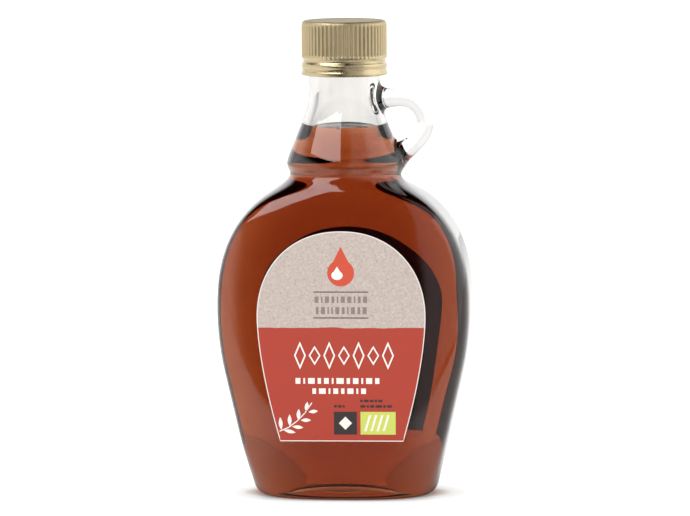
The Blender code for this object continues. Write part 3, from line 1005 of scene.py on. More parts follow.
@dataclass
class SyrupFill:
    """The syrup: its body up to the level shown, its curved free face and a few bubbles at the rim."""

    form: GlassForm
    skin: float = 0.25 * MM
    sink: float = 1.2 * MM
    sharpness: float = 0.35
    face_drop: float = 0.3 * MM
    face_thickness: float = 0.8 * MM
    curl_length: float = 1.5 * MM
    curl_reach: float = 6.0 * MM
    bubble_sides: int = 20
    bubble_inset: float = 0.5 * MM
    bubbles: tuple[tuple[float, float], ...] = (
        (-10.3 * MM, 0.45 * MM),
        (-3.6 * MM, 0.4 * MM),
        (-1.3 * MM, 0.7 * MM),
        (7.0 * MM, 0.4 * MM),
    )

    def build(self) -> list[bpy.types.Object]:
        """Builds and dresses the syrup.

        Returns:
            The body, its free face and its bubbles.
        """
        form = self.form
        rings = form.hollow_rings(self.skin, form.syrup_level - self.face_drop, self.sink, self.sharpness)
        body = new_mesh_object("syrup_body", *loft(rings))
        dress(body, [SyrupBody().material()])
        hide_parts("syrup")
        # The free face and the bubbles get a grey tint: painted shade that darkens what shows through them,
        # standing for their dark rims.
        clear = ClearSkin("maple_syrup_free_face", 1.47, "#9A8C84").material()
        still = ClearSkin("maple_syrup_inner_boundary", 1.0).material()
        return [body, self.free_face(clear, still), self.rim_bubbles(clear)]

    def face_height(self, radius: np.ndarray | float) -> np.ndarray:
        """Height of the free face at a distance from the axis: level, then curling up at the glass."""
        rim = float(self.form.inner_width(self.form.contact_height()))
        gap = np.maximum(rim - np.asarray(radius), 0.0)
        return self.form.syrup_level + self.form.meniscus * np.exp(-gap / self.curl_length)

    def free_face(self, clear: bpy.types.Material, still: bpy.types.Material) -> bpy.types.Object:
        """Thin slab whose upper side is the syrup's free face.

        Args:
            clear: material of the free face, grey-tinted as painted shade.
            still: material of the sides that lie within the syrup or the glass.

        Returns:
            The slab.
        """
        form = self.form
        bottom = form.syrup_level - self.face_thickness
        contact = form.contact_height()
        reach = float(form.inner_width(bottom)) + self.skin
        rings = [form.section(reach * share, reach * share, bottom, bottom) for share in (0.1, 0.5, 0.99)]
        for z in np.linspace(bottom, contact, 6):
            radius = float(form.inner_width(z)) + self.skin
            rings.append(form.section(radius, radius, float(z), contact))
        hidden = len(rings)
        rim = float(form.inner_width(contact))
        curl = np.linspace(0.0, self.curl_reach, 40)
        level = np.linspace(self.curl_reach, rim - 0.2 * MM, 8)[1:]
        for gap in np.concatenate([curl, level]):
            radius = rim - float(gap)
            rings.append(form.section(radius, radius, float(self.face_height(radius)), contact))
        slots = [1] * (form.segments * hidden) + [0] * (form.segments * (len(rings) - 1 - hidden))
        slots += [1] * form.segments + [0] * form.segments
        slab = new_mesh_object("syrup_free_face", *loft(rings))
        dress(slab, [clear, still], slots)
        return slab

    def rim_bubbles(self, clear: bpy.types.Material) -> bpy.types.Object:
        """Small domes of syrup film along the front of the rim.

        Args:
            clear: material of the film, grey-tinted as painted shade.

        Returns:
            One piece with all the domes.
        """
        all_points: list[np.ndarray] = []
        all_faces: list[Face] = []
        rim = float(self.form.inner_width(self.form.contact_height())) - self.bubble_inset
        count = self.bubble_sides
        angles = np.arange(count) * (2.0 * math.pi / count)
        for x, radius in self.bubbles:
            centre = np.array([x, -math.sqrt(rim**2 - x**2), 0.0])
            centre[2] = float(self.face_height(float(np.hypot(centre[0], centre[1])))) - 0.1 * radius
            rings = []
            for turn in np.radians(np.linspace(-80.0, 80.0, 11)):
                flat = radius * math.cos(turn)
                ring = np.stack([flat * np.cos(angles), flat * np.sin(angles), np.zeros(count)], axis=1)
                rings.append(ring + centre + (0.0, 0.0, 0.8 * radius * math.sin(turn)))
            points, faces = loft(rings)
            offset = sum(len(p) for p in all_points)
            all_points.append(points)
            all_faces += [tuple(i + offset for i in face) for face in faces]
        foam = new_mesh_object("syrup_bubbles", np.concatenate(all_points), all_faces)
        dress(foam, [clear])
        return foam


# Cap


@dataclass
class RollOnCap:
    """Roll-on cap: fine ribs, a scalloped bead, a pressed groove, a band and a flared rim."""

    bottom: float = 138.6 * MM
    top: float = 156.5 * MM
    radius: float = 14.0 * MM
    rib_count: int = 58
    rib_depth: float = 0.34 * MM
    corner: float = 1.2 * MM
    wall: float = 0.35 * MM
    top_wall: float = 1.0 * MM
    middle_radius: float = 1.0 * MM
    valley_sharpness: float = 1.6
    point_spacing: float = 0.12 * MM
    points_per_rib: int = 14

    def outline(self) -> list[tuple[float, float, float]]:
        """Radius, height and share of the ribs from the rim's underside to the middle of the top."""
        r = self.radius
        stations = [
            (r - 0.35 * MM, self.bottom, 0.0),
            (r - 0.05 * MM, 138.62 * MM, 0.0),
            (r + 0.16 * MM, 138.85 * MM, 0.0),
            (r + 0.20 * MM, 139.25 * MM, 0.0),
            (r + 0.14 * MM, 139.7 * MM, 0.0),
            (r - 0.04 * MM, 140.2 * MM, 0.0),
            (r - 0.12 * MM, 140.6 * MM, 0.0),
            (r - 0.12 * MM, 141.0 * MM, 0.0),
            (r - 0.02 * MM, 141.35 * MM, 0.0),
            (r + 0.08 * MM, 141.75 * MM, 0.0),
            (r + 0.08 * MM, 142.1 * MM, 0.0),
            (r - 0.04 * MM, 142.5 * MM, 0.0),
            (r - 0.32 * MM, 142.85 * MM, 0.0),
            (r - 0.52 * MM, 143.25 * MM, 0.0),
            (r - 0.50 * MM, 143.65 * MM, 0.0),
            (r - 0.28 * MM, 144.0 * MM, 0.0),
            (r - 0.04 * MM, 144.3 * MM, 0.1),
            (r + 0.06 * MM, 144.7 * MM, 0.35),
            (r + 0.02 * MM, 145.05 * MM, 0.6),
            (r - 0.02 * MM, 145.4 * MM, 1.0),
            (r, 146.0 * MM, 1.0),
            (r, self.top - self.corner - 0.7 * MM, 1.0),
            (r - 0.03 * MM, self.top - self.corner - 0.2 * MM, 0.6),
        ]
        for turn in np.radians(np.linspace(0.0, 90.0, 9)):
            edge = r - 0.06 * MM - self.corner * (1.0 - math.cos(turn))
            height = self.top - self.corner * (1.0 - math.sin(turn))
            stations.append((edge, height, max(0.0, 0.35 * math.cos(turn) - 0.1)))
        dished = self.top - 0.15 * MM
        stations += [(r - 1.9 * MM, self.top - 0.02 * MM, 0.0), (r - 2.4 * MM, self.top - 0.12 * MM, 0.0)]
        stations += [(r - 3.0 * MM, dished, 0.0), (self.middle_radius, dished, 0.0)]
        return stations

    def spaced(self) -> list[tuple[float, float, float]]:
        """The outline with points added between its stations, evenly spaced along it."""
        stations = np.array(self.outline())
        gaps = np.linalg.norm(np.diff(stations[:, :2], axis=0), axis=1)
        along = np.concatenate([[0.0], np.cumsum(gaps)])
        fine = np.unique(np.concatenate([along, np.arange(0.0, along[-1], self.point_spacing)]))
        columns = [np.interp(fine, along, stations[:, k]) for k in range(3)]
        return list(zip(*[column.tolist() for column in columns]))

    def ring(self, radius: float, z: float, rib_share: float) -> np.ndarray:
        """Ring of the cap: round crests with narrower valleys between them where it is ribbed."""
        count = self.rib_count * self.points_per_rib
        angles = np.arange(count) * (2.0 * math.pi / count)
        valley = (0.5 - 0.5 * np.cos(angles * self.rib_count)) ** self.valley_sharpness
        reach = radius - self.rib_depth * rib_share * valley
        return np.stack([reach * np.cos(angles), reach * np.sin(angles), np.full(count, z)], axis=1)

    def build(self) -> bpy.types.Object:
        """Builds and dresses the cap.

        Returns:
            The piece that stands for the cap's solid.
        """
        inner = self.radius - self.rib_depth - self.wall - 0.2 * MM
        ceiling = self.top - self.top_wall
        rings = [self.ring(self.middle_radius, ceiling, 0.0), self.ring(inner, ceiling, 0.0)]
        rings.append(self.ring(inner, self.bottom + 0.1 * MM, 0.0))
        rings += [self.ring(*station) for station in self.spaced()]
        cap = new_mesh_object("roll_on_cap", *loft(rings))
        dress(cap, [GoldAluminium().material()])
        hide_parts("cap")
        return cap


# Labels


@dataclass(frozen=True)
class Patch:
    """Flat outline on a label, in millimetres: to the right of the label's middle, and above the table."""

    corners: tuple[Point2, ...]
    slot: int = 0


def bar(x_low: float, x_high: float, z_low: float, z_high: float) -> Patch:
    """Upright rectangle."""
    return Patch(((x_low, z_low), (x_high, z_low), (x_high, z_high), (x_low, z_high)))


def almond(x: float, z: float, length: float, width: float, turn: float) -> Patch:
    """Pointed oval, such as a small leaflet or a lozenge with full sides."""
    c, s = math.cos(turn), math.sin(turn)
    rim = [(t, width / 2.0 * math.sin(math.pi * t)) for t in np.linspace(0.0, 1.0, 9)]
    rim += [(t, -w) for t, w in rim[-2:0:-1]]
    return Patch(tuple((x + (t * length) * c - w * s, z + (t * length) * s + w * c) for t, w in rim))


def lozenge_ring(x: float, z: float, half_width: float, half_height: float, inside: float) -> list[Patch]:
    """Upright lozenge drawn as an outline of four strips, the inner one a share of the outer."""
    corners = [(half_width, 0.0), (0.0, half_height), (-half_width, 0.0), (0.0, -half_height)]
    patches = []
    for (u0, v0), (u1, v1) in zip(corners, corners[1:] + corners[:1]):
        patches.append(Patch((
            (x + u0, z + v0),
            (x + u1, z + v1),
            (x + u1 * inside, z + v1 * inside),
            (x + u0 * inside, z + v0 * inside),
        )))
    return patches


def stroke(line: Sequence[Point2], width: float) -> list[Patch]:
    """Thin line drawn through points, as one piece for each stretch."""
    patches = []
    for (x0, z0), (x1, z1) in zip(line, line[1:]):
        size = math.hypot(x1 - x0, z1 - z0)
        dx, dz = (x1 - x0) / size * width / 2.0, (z1 - z0) / size * width / 2.0
        patches.append(Patch((
            (x0 - dx + dz, z0 - dz - dx),
            (x1 + dx + dz, z1 + dz - dx),
            (x1 + dx - dz, z1 + dz + dx),
            (x0 - dx - dz, z0 - dz + dx),
        )))
    return patches


def dashes(x_low: float, z_low: float, z_high: float, lengths: Sequence[float], gap: float) -> list[Patch]:
    """Row of short bars of given lengths, a gap apart."""
    patches = []
    x = x_low
    for length in lengths:
        patches.append(bar(x, x + length, z_low, z_high))
        x += length + gap
    return patches


@dataclass
class PaperLabel:
    """Arched paper label glued to one broad face, with its printed shapes as thin layers of ink."""

    form: GlassForm
    side: Side
    bottom: float = 20.0
    widest: float = 60.5
    top: float = 89.0
    half_width: float = 27.6
    foot_half_width: float = 20.2
    arch_power: float = 2.15
    side_power: float = 1.6
    rim: float = 0.3
    glue_depth: float = 0.05 * MM
    thickness: float = 0.06 * MM
    ink_lift: float = 0.075 * MM
    ink_step: float = 0.012 * MM
    ink_thickness: float = 0.03 * MM
    rim_stock_and_painted_backlight: str = "#EDE6E0"
    cell: float = 1.25

    def reach(self, z: np.ndarray) -> np.ndarray:
        """Half width at heights in millimetres."""
        rise = np.clip((z - self.widest) / (self.top - self.widest), 0.0, 1.0)
        arch = self.half_width * (1.0 - rise**self.arch_power) ** (1.0 / self.arch_power)
        drop = np.clip((self.widest - z) / (self.widest - self.bottom), 0.0, 1.0)
        flank = self.half_width - (self.half_width - self.foot_half_width) * drop**self.side_power
        return np.where(z >= self.widest, arch, flank)

    def outline(self) -> np.ndarray:
        """Outline of the paper, anticlockwise from its lower right corner."""
        flank = np.linspace(self.bottom, self.widest, 30)
        arch = self.widest + (self.top - self.widest) * np.sin(np.radians(np.linspace(0.0, 90.0, 50)[1:]))
        heights = np.concatenate([flank, arch])
        right = np.stack([self.reach(heights), heights], axis=1)
        left = right[-2::-1] * (-1.0, 1.0)
        return np.concatenate([right, left])

    def paper(self) -> list[Patch]:
        """The printed field, and a narrow rim of bare stock round it."""
        outer = self.outline()
        ahead, behind = np.roll(outer, -1, axis=0), np.roll(outer, 1, axis=0)
        run = ahead - behind
        run /= np.linalg.norm(run, axis=1)[:, None]
        inner = outer + self.rim * np.stack([-run[:, 1], run[:, 0]], axis=1)
        patches = [Patch(tuple(map(tuple, inner.tolist())), 0)]
        count = len(outer)
        for i in range(count):
            j = (i + 1) % count
            strip = (tuple(outer[i]), tuple(outer[j]), tuple(inner[j]), tuple(inner[i]))
            patches.append(Patch(strip, 1))
        return patches

    def layer(
        self,
        name: str,
        patches: Sequence[Patch],
        low: float,
        high: float,
        materials: Sequence[bpy.types.Material],
    ) -> bpy.types.Object:
        """Thin closed layer that follows the glass.

        Args:
            name: name of the piece.
            patches: its outlines.
            low: height of its underside off the glass.
            high: height of its upper side off the glass.
            materials: its materials, in slot order; the last one is its underside's.

        Returns:
            The piece.
        """
        flat, triangles, slots = self.cut_up(patches)
        x, z = flat[:, 0] * MM, flat[:, 1] * MM
        count = len(flat)
        points = np.concatenate([
            self.form.front_points(x, z, high, self.side),
            self.form.front_points(x, z, low, self.side),
        ])
        faces = [tuple(t) for t in triangles]
        faces += [(t[2] + count, t[1] + count, t[0] + count) for t in triangles]
        face_slots = list(slots) + [len(materials) - 1] * len(slots)
        edges: dict[tuple[int, int], int] = {}
        for t, slot in zip(triangles, slots):
            for a, b in ((t[0], t[1]), (t[1], t[2]), (t[2], t[0])):
                edges[(a, b)] = slot
        for (a, b), slot in edges.items():
            if (b, a) not in edges:
                faces.append((b, a, a + count, b + count))
                face_slots.append(slot)
        piece = new_mesh_object(name, points, faces)
        piece.data.set_sharp_from_angle(angle=math.radians(50.0))
        dress(piece, materials, face_slots)
        return piece

    def cut_up(self, patches: Sequence[Patch]) -> tuple[np.ndarray, list[Face], list[int]]:
        """Cuts flat outlines into small triangles that can follow a curved face.

        Args:
            patches: the outlines.

        Returns:
            The points in millimetres, the triangles and each triangle's slot.
        """
        shape = bmesh.new()
        for patch in patches:
            pairs = zip(patch.corners, patch.corners[1:] + patch.corners[:1])
            turn = sum(a[0] * b[1] - b[0] * a[1] for a, b in pairs)
            corners = patch.corners if turn > 0.0 else patch.corners[::-1]
            face = shape.faces.new([shape.verts.new((x, z, 0.0)) for x, z in corners])
            face.material_index = patch.slot
        bmesh.ops.remove_doubles(shape, verts=shape.verts, dist=1e-5)
        for axis, low, high in ((0, -self.half_width, self.half_width), (1, self.bottom, self.top)):
            for value in np.arange(low + self.cell, high, self.cell):
                where, normal = [0.0, 0.0, 0.0], [0.0, 0.0, 0.0]
                where[axis], normal[axis] = float(value), 1.0
                everything = [*shape.verts, *shape.edges, *shape.faces]
                bmesh.ops.bisect_plane(shape, geom=everything, dist=1e-5, plane_co=where, plane_no=normal)
        bmesh.ops.triangulate(shape, faces=shape.faces)
        shape.verts.index_update()
        flat = np.array([v.co[:2] for v in shape.verts])
        triangles = [tuple(v.index for v in face.verts) for face in shape.faces]
        slots = [face.material_index for face in shape.faces]
        shape.free()
        return flat, triangles, slots

    def front_print(self) -> dict[Ink, list[Patch]]:
        """Printed shapes of the front label, a plain design of the label's own."""
        drop = [(0.0, 84.0)]
        for turn in np.radians(np.linspace(35.0, 325.0, 30)):
            drop.append((-4.4 * math.sin(turn), 75.4 + 4.4 * math.cos(turn)))
        white = [Patch(tuple((x * 0.42 - 1.2, (z - 75.4) * 0.34 + 74.6) for x, z in drop))]
        charcoal = [bar(-9.0, 9.0, 69.0, 69.3), bar(-9.0, 9.0, 60.5, 60.8)]
        grey = dashes(-8.6, 65.6, 67.7, (1.3, 0.5, 1.3, 0.9, 0.5, 1.3, 1.3, 0.5, 0.9, 1.3), 0.82)
        grey += dashes(-8.2, 61.9, 64.2, (0.9, 1.3, 0.5, 0.5, 1.3, 0.9, 0.5, 1.3, 0.9, 1.3), 0.8)
        title = []
        for i in range(7):
            x = -13.5 + 4.8 * i
            tall = 4.6 if i % 2 == 0 else 3.2
            title += lozenge_ring(x, 48.3, 1.95, tall, 0.72)
        rows = dashes(-15.0, 39.0, 40.9, (1.6, 0.6, 2.2, 1.1, 1.6, 0.6, 2.4, 1.1, 1.8, 0.6, 2.0, 1.4), 0.95)
        rows += dashes(-9.5, 35.7, 37.5, (1.2, 2.2, 0.6, 1.6, 1.1, 2.0, 0.6, 1.6), 0.95)
        stem = [(-20.2, 23.4), (-17.4, 24.6), (-14.6, 26.7), (-12.0, 29.4), (-9.8, 32.6)]
        sprig = stroke(stem, 0.35)
        for i, (x, z) in enumerate(stem[:-1]):
            sprig += [almond(x + 0.4, z + 0.4, 4.2 - 0.3 * i, 1.3, math.radians(95.0 - 4.0 * i))]
            sprig += [almond(x + 1.2, z + 0.3, 4.0 - 0.3 * i, 1.2, math.radians(-12.0 + 6.0 * i))]
        square_mark = [Patch(((1.25, 28.2), (-0.9, 26.05), (1.25, 23.9), (3.4, 26.05)))]
        stripes = []
        for x in (7.4, 9.4, 11.4, 13.4):
            stripes.append(Patch(((x, 23.4), (x + 0.7, 23.4), (x + 2.3, 28.7), (x + 1.6, 28.7))))
        small = dashes(-2.4, 31.2, 32.0, (0.8, 1.2, 0.6), 0.4)
        small += dashes(6.2, 31.2, 32.0, (1.6, 0.7, 1.3, 2.1, 0.8, 1.5), 0.45)
        small += dashes(6.2, 33.0, 33.8, (0.7, 1.5, 1.1, 0.8, 1.3), 0.45)
        return {
            Ink.ORANGE: [Patch(tuple(drop))],
            Ink.GREY: grey,
            Ink.CHARCOAL: charcoal + [bar(-2.5, 5.0, 22.3, 29.8)] + small,
            Ink.LIME: [bar(6.2, 17.7, 22.3, 29.8)],
            Ink.WHITE: white + title + rows + sprig + square_mark + stripes,
        }

    def back_print(self) -> dict[Ink, list[Patch]]:
        """Printed shapes of the back label: rules, rows of short bars and a white panel of stripes."""
        grey = []
        for i in range(7):
            lengths = [1.2 + 0.9 * ((3 * i + 2 * k) % 4) for k in range(8)]
            grey += dashes(-14.0, 62.0 + 2.5 * i, 63.1 + 2.5 * i, lengths[: 8 - i // 2], 0.9)
        white = [bar(-17.5, 0.5, 24.0, 37.0)]
        for i in range(4):
            lengths = [1.4 + 0.8 * ((i + 3 * k) % 4) for k in range(9)]
            white += dashes(-15.0, 44.0 + 2.7 * i, 45.2 + 2.7 * i, lengths[:8], 0.9)
        charcoal = [bar(-14.0, 14.0, 59.8, 60.1), bar(-9.0, 9.0, 81.0, 81.3)]
        for i in range(14):
            charcoal.append(bar(-16.3 + 1.2 * i, -15.7 + 1.2 * i, 25.6, 35.4))
        return {
            Ink.GREY: grey,
            Ink.CHARCOAL: charcoal,
            Ink.WHITE: white,
            Ink.LIME: [bar(5.0, 15.5, 24.0, 31.0)],
        }

    def build(self) -> list[bpy.types.Object]:
        """Builds and dresses the paper and its print.

        Returns:
            The paper, which stands for the label's solid, and a layer for each ink.
        """
        place = self.side.name.lower()
        stock = PrintedKraft(name=f"kraft_paper_offset_printed_{place}").material()
        # The paper's rim of bare stock and its underside share this pale stock; on the underside, paler than
        # the kraft, it is painted light standing for the backdrop shining through the paper.
        bare = FlatPrint(f"kraft_paper_cut_edge_{place}", self.rim_stock_and_painted_backlight).material()
        paper = self.layer(
            f"label_{place}_paper", self.paper(), -self.glue_depth, self.thickness, [stock, bare]
        )
        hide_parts(f"label_{place}")
        pieces = [paper]
        prints = self.front_print() if self.side is Side.FRONT else self.back_print()
        for order, (ink, patches) in enumerate(prints.items()):
            name = ink.name.lower()
            material = FlatPrint(f"offset_ink_{name}_{place}", ink.value).material()
            high = self.ink_lift + self.ink_step * order
            low = high - self.ink_thickness
            pieces.append(self.layer(f"label_{place}_print_{name}", patches, low, high, [material]))
        return pieces


# Studio


@dataclass(frozen=True)
class SoftCard:
    """Large soft light seen in the glass, by the directions that it fills, in degrees.

    A card with a slant is also cut by a plane through the bottle, and the slant is that plane's normal.
    """

    azimuth_low: float
    azimuth_high: float
    elevation_low: float
    elevation_high: float
    side_softness: float
    end_softness: float
    radiance: float
    slant: tuple[float, float, float] | None = None


@dataclass(frozen=True)
class LightPanel:
    """Flat soft light that only mirrors show, by its direction from a centre and its outline."""

    name: str
    centre: tuple[float, float, float]
    azimuth: float
    elevation: float
    distance: float
    corners: tuple[Point2, ...]
    radiance: float

    def build(self) -> bpy.types.Object:
        """Builds the panel square to its direction, its outline in shares of its distance.

        Returns:
            The panel.
        """
        a, e = math.radians(self.azimuth), math.radians(self.elevation)
        away = Vector((math.sin(a) * math.cos(e), -math.cos(a) * math.cos(e), math.sin(e)))
        right = Vector((0.0, 0.0, 1.0)).cross(away).normalized()
        up = away.cross(right)
        middle = Vector(self.centre) + away * self.distance
        corners = [middle + (right * u + up * v) * self.distance for u, v in self.corners]
        panel = new_mesh_object(self.name, np.array(corners), [tuple(range(len(corners)))])
        material, _, shader = new_material(f"{self.name}_diffuser")
        shader.inputs["Base Color"].default_value = (0.0, 0.0, 0.0, 1.0)
        shader.inputs["Emission Color"].default_value = (1.0, 1.0, 1.0, 1.0)
        shader.inputs["Emission Strength"].default_value = self.radiance
        panel.data.materials.append(material)
        panel.visible_camera = False
        panel.visible_diffuse = False
        panel.visible_transmission = False
        panel.visible_shadow = False
        return panel


@dataclass(frozen=True)
class SoftLamp:
    """Square soft lamp aimed at the bottle, which lights matt things and stays out of mirrors."""

    name: str
    place: tuple[float, float, float]
    size: float
    power: float
    target: tuple[float, float, float] = (0.0, 0.0, 0.07)

    def build(self) -> bpy.types.Object:
        """Builds the lamp.

        Returns:
            The lamp.
        """
        data = bpy.data.lights.new(self.name, "AREA")
        data.shape = "SQUARE"
        data.size = self.size
        data.energy = self.power
        lamp = bpy.data.objects.new(self.name, data)
        lamp.location = self.place
        lamp.rotation_mode = "QUATERNION"
        lamp.rotation_quaternion = (Vector(self.target) - lamp.location).to_track_quat("-Z", "Y")
        lamp.visible_camera = False
        lamp.visible_glossy = False
        lamp.visible_transmission = False
        bpy.context.scene.collection.objects.link(lamp)
        return lamp


@dataclass
class Studio:
    """Pale floor, white backdrop, soft lights and the camera.

    Each pair of limits says where a thing starts to fade in and where it is whole, along the direction or
    the place that its name gives.
    """

    cards: tuple[SoftCard, ...] = (
        SoftCard(
            azimuth_low=-130.0,
            azimuth_high=-25.0,
            elevation_low=-16.0,
            elevation_high=24.0,
            side_softness=13.0,
            end_softness=5.0,
            radiance=1.3,
            slant=(-0.483, 0.433, -0.761),
        ),
        SoftCard(
            azimuth_low=-10.0,
            azimuth_high=137.0,
            elevation_low=-11.2,
            elevation_high=65.0,
            side_softness=2.0,
            end_softness=0.8,
            radiance=0.65,
            slant=(0.946, 0.073, -0.316),
        ),
        SoftCard(
            azimuth_low=60.0,
            azimuth_high=128.0,
            elevation_low=-11.2,
            elevation_high=40.0,
            side_softness=12.0,
            end_softness=0.8,
            radiance=1.2,
        ),
    )
    panels: tuple[LightPanel, ...] = (
        LightPanel(
            name="studio_strip_light",
            centre=(0.0, 0.0, 0.105),
            azimuth=-55.9,
            elevation=41.4,
            distance=1.5,
            corners=(
                (0.95, 0.0), (0.70, 0.20), (0.02, 0.42), (-0.27, 0.59), (-0.43, 0.62), (-0.60, 0.52),
                (-0.20, 0.02), (-0.40, -0.10), (-0.40, -0.19), (0.0, -0.16), (0.60, -0.14), (0.70, -0.02),
                (0.79, 0.03),
            ),
            radiance=5.0,
        ),
    )
    lamps: tuple[SoftLamp, ...] = (
        SoftLamp("overhead_soft", place=(0.0, 0.1, 1.3), size=1.4, power=10.0),
        SoftLamp("key_soft", place=(-0.8, -0.9, 0.9), size=0.7, power=2.0),
    )
    backdrop: float = 1.5
    backdrop_side: tuple[float, float] = (0.55, 0.8)
    backdrop_top: tuple[float, float] = (0.55, 0.35)
    front_gloom: float = 0.03
    seen_through: float = 1.0
    seen_through_sides: float = 0.45
    seen_through_side: tuple[float, float] = (0.45, 0.93)
    ambient: float = 1.15
    floor_pale: str = "#F2F1EF"
    floor_grain: str = "#EDECEA"
    floor_grain_size: float = 1.5 * MM
    floor_painted_syrup_light: str = "#A0693B"
    floor_painted_syrup_light_reach: tuple[float, float] = (32 * MM, 17 * MM)
    floor_lift: float = 0.2
    floor_mirrored_painted_shade: float = 0.65
    floor_mirrored_painted_shade_side: tuple[float, float] = (50 * MM, 10 * MM)
    floor_drop: float = 0.05 * MM
    floor_half_size: float = 3.0
    floor_edge_normal: tuple[float, float, float] = (0.2585, -0.966, 0.0)
    floor_edge_distance: float = 0.208
    floor_edge_softness: float = 0.012
    camera_azimuth: float = math.radians(4.2)
    camera_elevation: float = math.radians(6.0)
    camera_roll: float = math.radians(0.38)
    camera_distance: float = 1.70
    camera_lens: float = 268.7
    camera_aim: tuple[float, float, float] = (-0.0002, 0.0, 0.07793)

    def floor(self) -> bpy.types.Object:
        """Plain pale floor.

        Returns:
            The floor.
        """
        half = self.floor_half_size
        steps = np.linspace(-half, half, 13)
        points = np.array([(x, y, -self.floor_drop) for y in steps for x in steps])
        count = len(steps)
        faces = [
            (r * count + c, r * count + c + 1, (r + 1) * count + c + 1, (r + 1) * count + c)
            for r in range(count - 1)
            for c in range(count - 1)
        ]
        floor = new_mesh_object("studio_floor", points, faces)
        floor.data.materials.append(self.board())
        return floor

    def board(self) -> bpy.types.Material:
        """Matt painted board: pale, with painted amber light under the bottle and painted shade beside it in
        mirrors, and in mirrors only up to its front edge.

        Returns:
            The floor's material.
        """
        material, tree, shader = new_material("painted_board_matt")
        place = add_node(tree, "ShaderNodeNewGeometry").outputs["Position"]
        ray = add_node(tree, "ShaderNodeLightPath")
        mirrored = add_node(
            tree, "ShaderNodeMath", {"operation": "MULTIPLY"},
            {0: ray.outputs["Is Glossy Ray"], 1: ray.outputs["Is Reflection Ray"]},
        )
        # The glass mirrors the board only up to its slanting front edge, and sees the cards past it.
        ahead = add_node(
            tree, "ShaderNodeVectorMath", {"operation": "DOT_PRODUCT", 1: self.floor_edge_normal}, {0: place}
        )
        past = add_node(
            tree, "ShaderNodeMapRange",
            {
                "From Min": self.floor_edge_distance - self.floor_edge_softness,
                "From Max": self.floor_edge_distance + self.floor_edge_softness,
            },
            {"Value": ahead.outputs["Value"]},
        )
        left_out = add_node(
            tree, "ShaderNodeMath", {"operation": "MULTIPLY"},
            {0: mirrored.outputs[0], 1: past.outputs["Result"]},
        )
        grain = add_node(
            tree, "ShaderNodeTexNoise", {"Scale": 1.0 / self.floor_grain_size, "Detail": 2.0},
            {"Vector": place},
        )
        pale = add_node(
            tree, "ShaderNodeMix",
            {"data_type": "RGBA", 6: linear(self.floor_pale), 7: linear(self.floor_grain)},
            {0: grain.outputs["Fac"]},
        )
        # Under the bottle the board's colour is painted amber: painted light standing for what comes through
        # the syrup, the only light that reaches it there.
        wide, deep = self.floor_painted_syrup_light_reach
        oval = add_node(
            tree, "ShaderNodeVectorMath", {"operation": "MULTIPLY", 1: (1.0 / wide, 1.0 / deep, 0.0)},
            {0: place},
        )
        reach = add_node(tree, "ShaderNodeVectorMath", {"operation": "LENGTH"}, {0: oval.outputs["Vector"]})
        painted_light_share = add_node(
            tree, "ShaderNodeMapRange", {"From Min": 1.1, "From Max": 0.9}, {"Value": reach.outputs["Value"]}
        )
        lit = add_node(
            tree, "ShaderNodeMix", {"data_type": "RGBA", 7: linear(self.floor_painted_syrup_light)},
            {0: painted_light_share.outputs["Result"], 6: pale.outputs[2]},
        )
        # Beside the bottle the board's colour is darkened for mirrored rays only: painted shade standing for
        # the light that the bottle keeps off it.
        aside = add_node(tree, "ShaderNodeVectorMath", {"operation": "ABSOLUTE"}, {0: place})
        sideways = add_node(tree, "ShaderNodeSeparateXYZ", links={0: aside.outputs["Vector"]})
        near = add_node(
            tree, "ShaderNodeMapRange",
            {
                "interpolation_type": "SMOOTHSTEP",
                "From Min": self.floor_mirrored_painted_shade_side[0],
                "From Max": self.floor_mirrored_painted_shade_side[1],
                "To Max": self.floor_mirrored_painted_shade,
            },
            {"Value": sideways.outputs["X"]},
        )
        dimmed = add_node(
            tree, "ShaderNodeMath", {"operation": "MULTIPLY"},
            {0: mirrored.outputs[0], 1: near.outputs["Result"]},
        )
        colour = add_node(
            tree, "ShaderNodeMix", {"data_type": "RGBA", 7: (0.0, 0.0, 0.0, 1.0)},
            {0: dimmed.outputs[0], 6: lit.outputs[2]},
        )
        lift = add_node(
            tree, "ShaderNodeMath", {"operation": "MULTIPLY", 1: self.floor_lift},
            {0: ray.outputs["Is Camera Ray"]},
        )
        shader.inputs["Roughness"].default_value = 0.9
        shader.inputs["Specular IOR Level"].default_value = 0.0
        shader.inputs["Emission Color"].default_value = (1.0, 1.0, 1.0, 1.0)
        tree.links.new(colour.outputs[2], shader.inputs["Base Color"])
        tree.links.new(lift.outputs[0], shader.inputs["Emission Strength"])
        gap = add_node(tree, "ShaderNodeBsdfTransparent")
        whole = add_node(
            tree, "ShaderNodeMixShader", {},
            {0: left_out.outputs[0], 1: shader.outputs["BSDF"], 2: gap.outputs["BSDF"]},
        )
        tree.links.new(whole.outputs["Shader"], tree.nodes["Material Output"].inputs["Surface"])
        return material

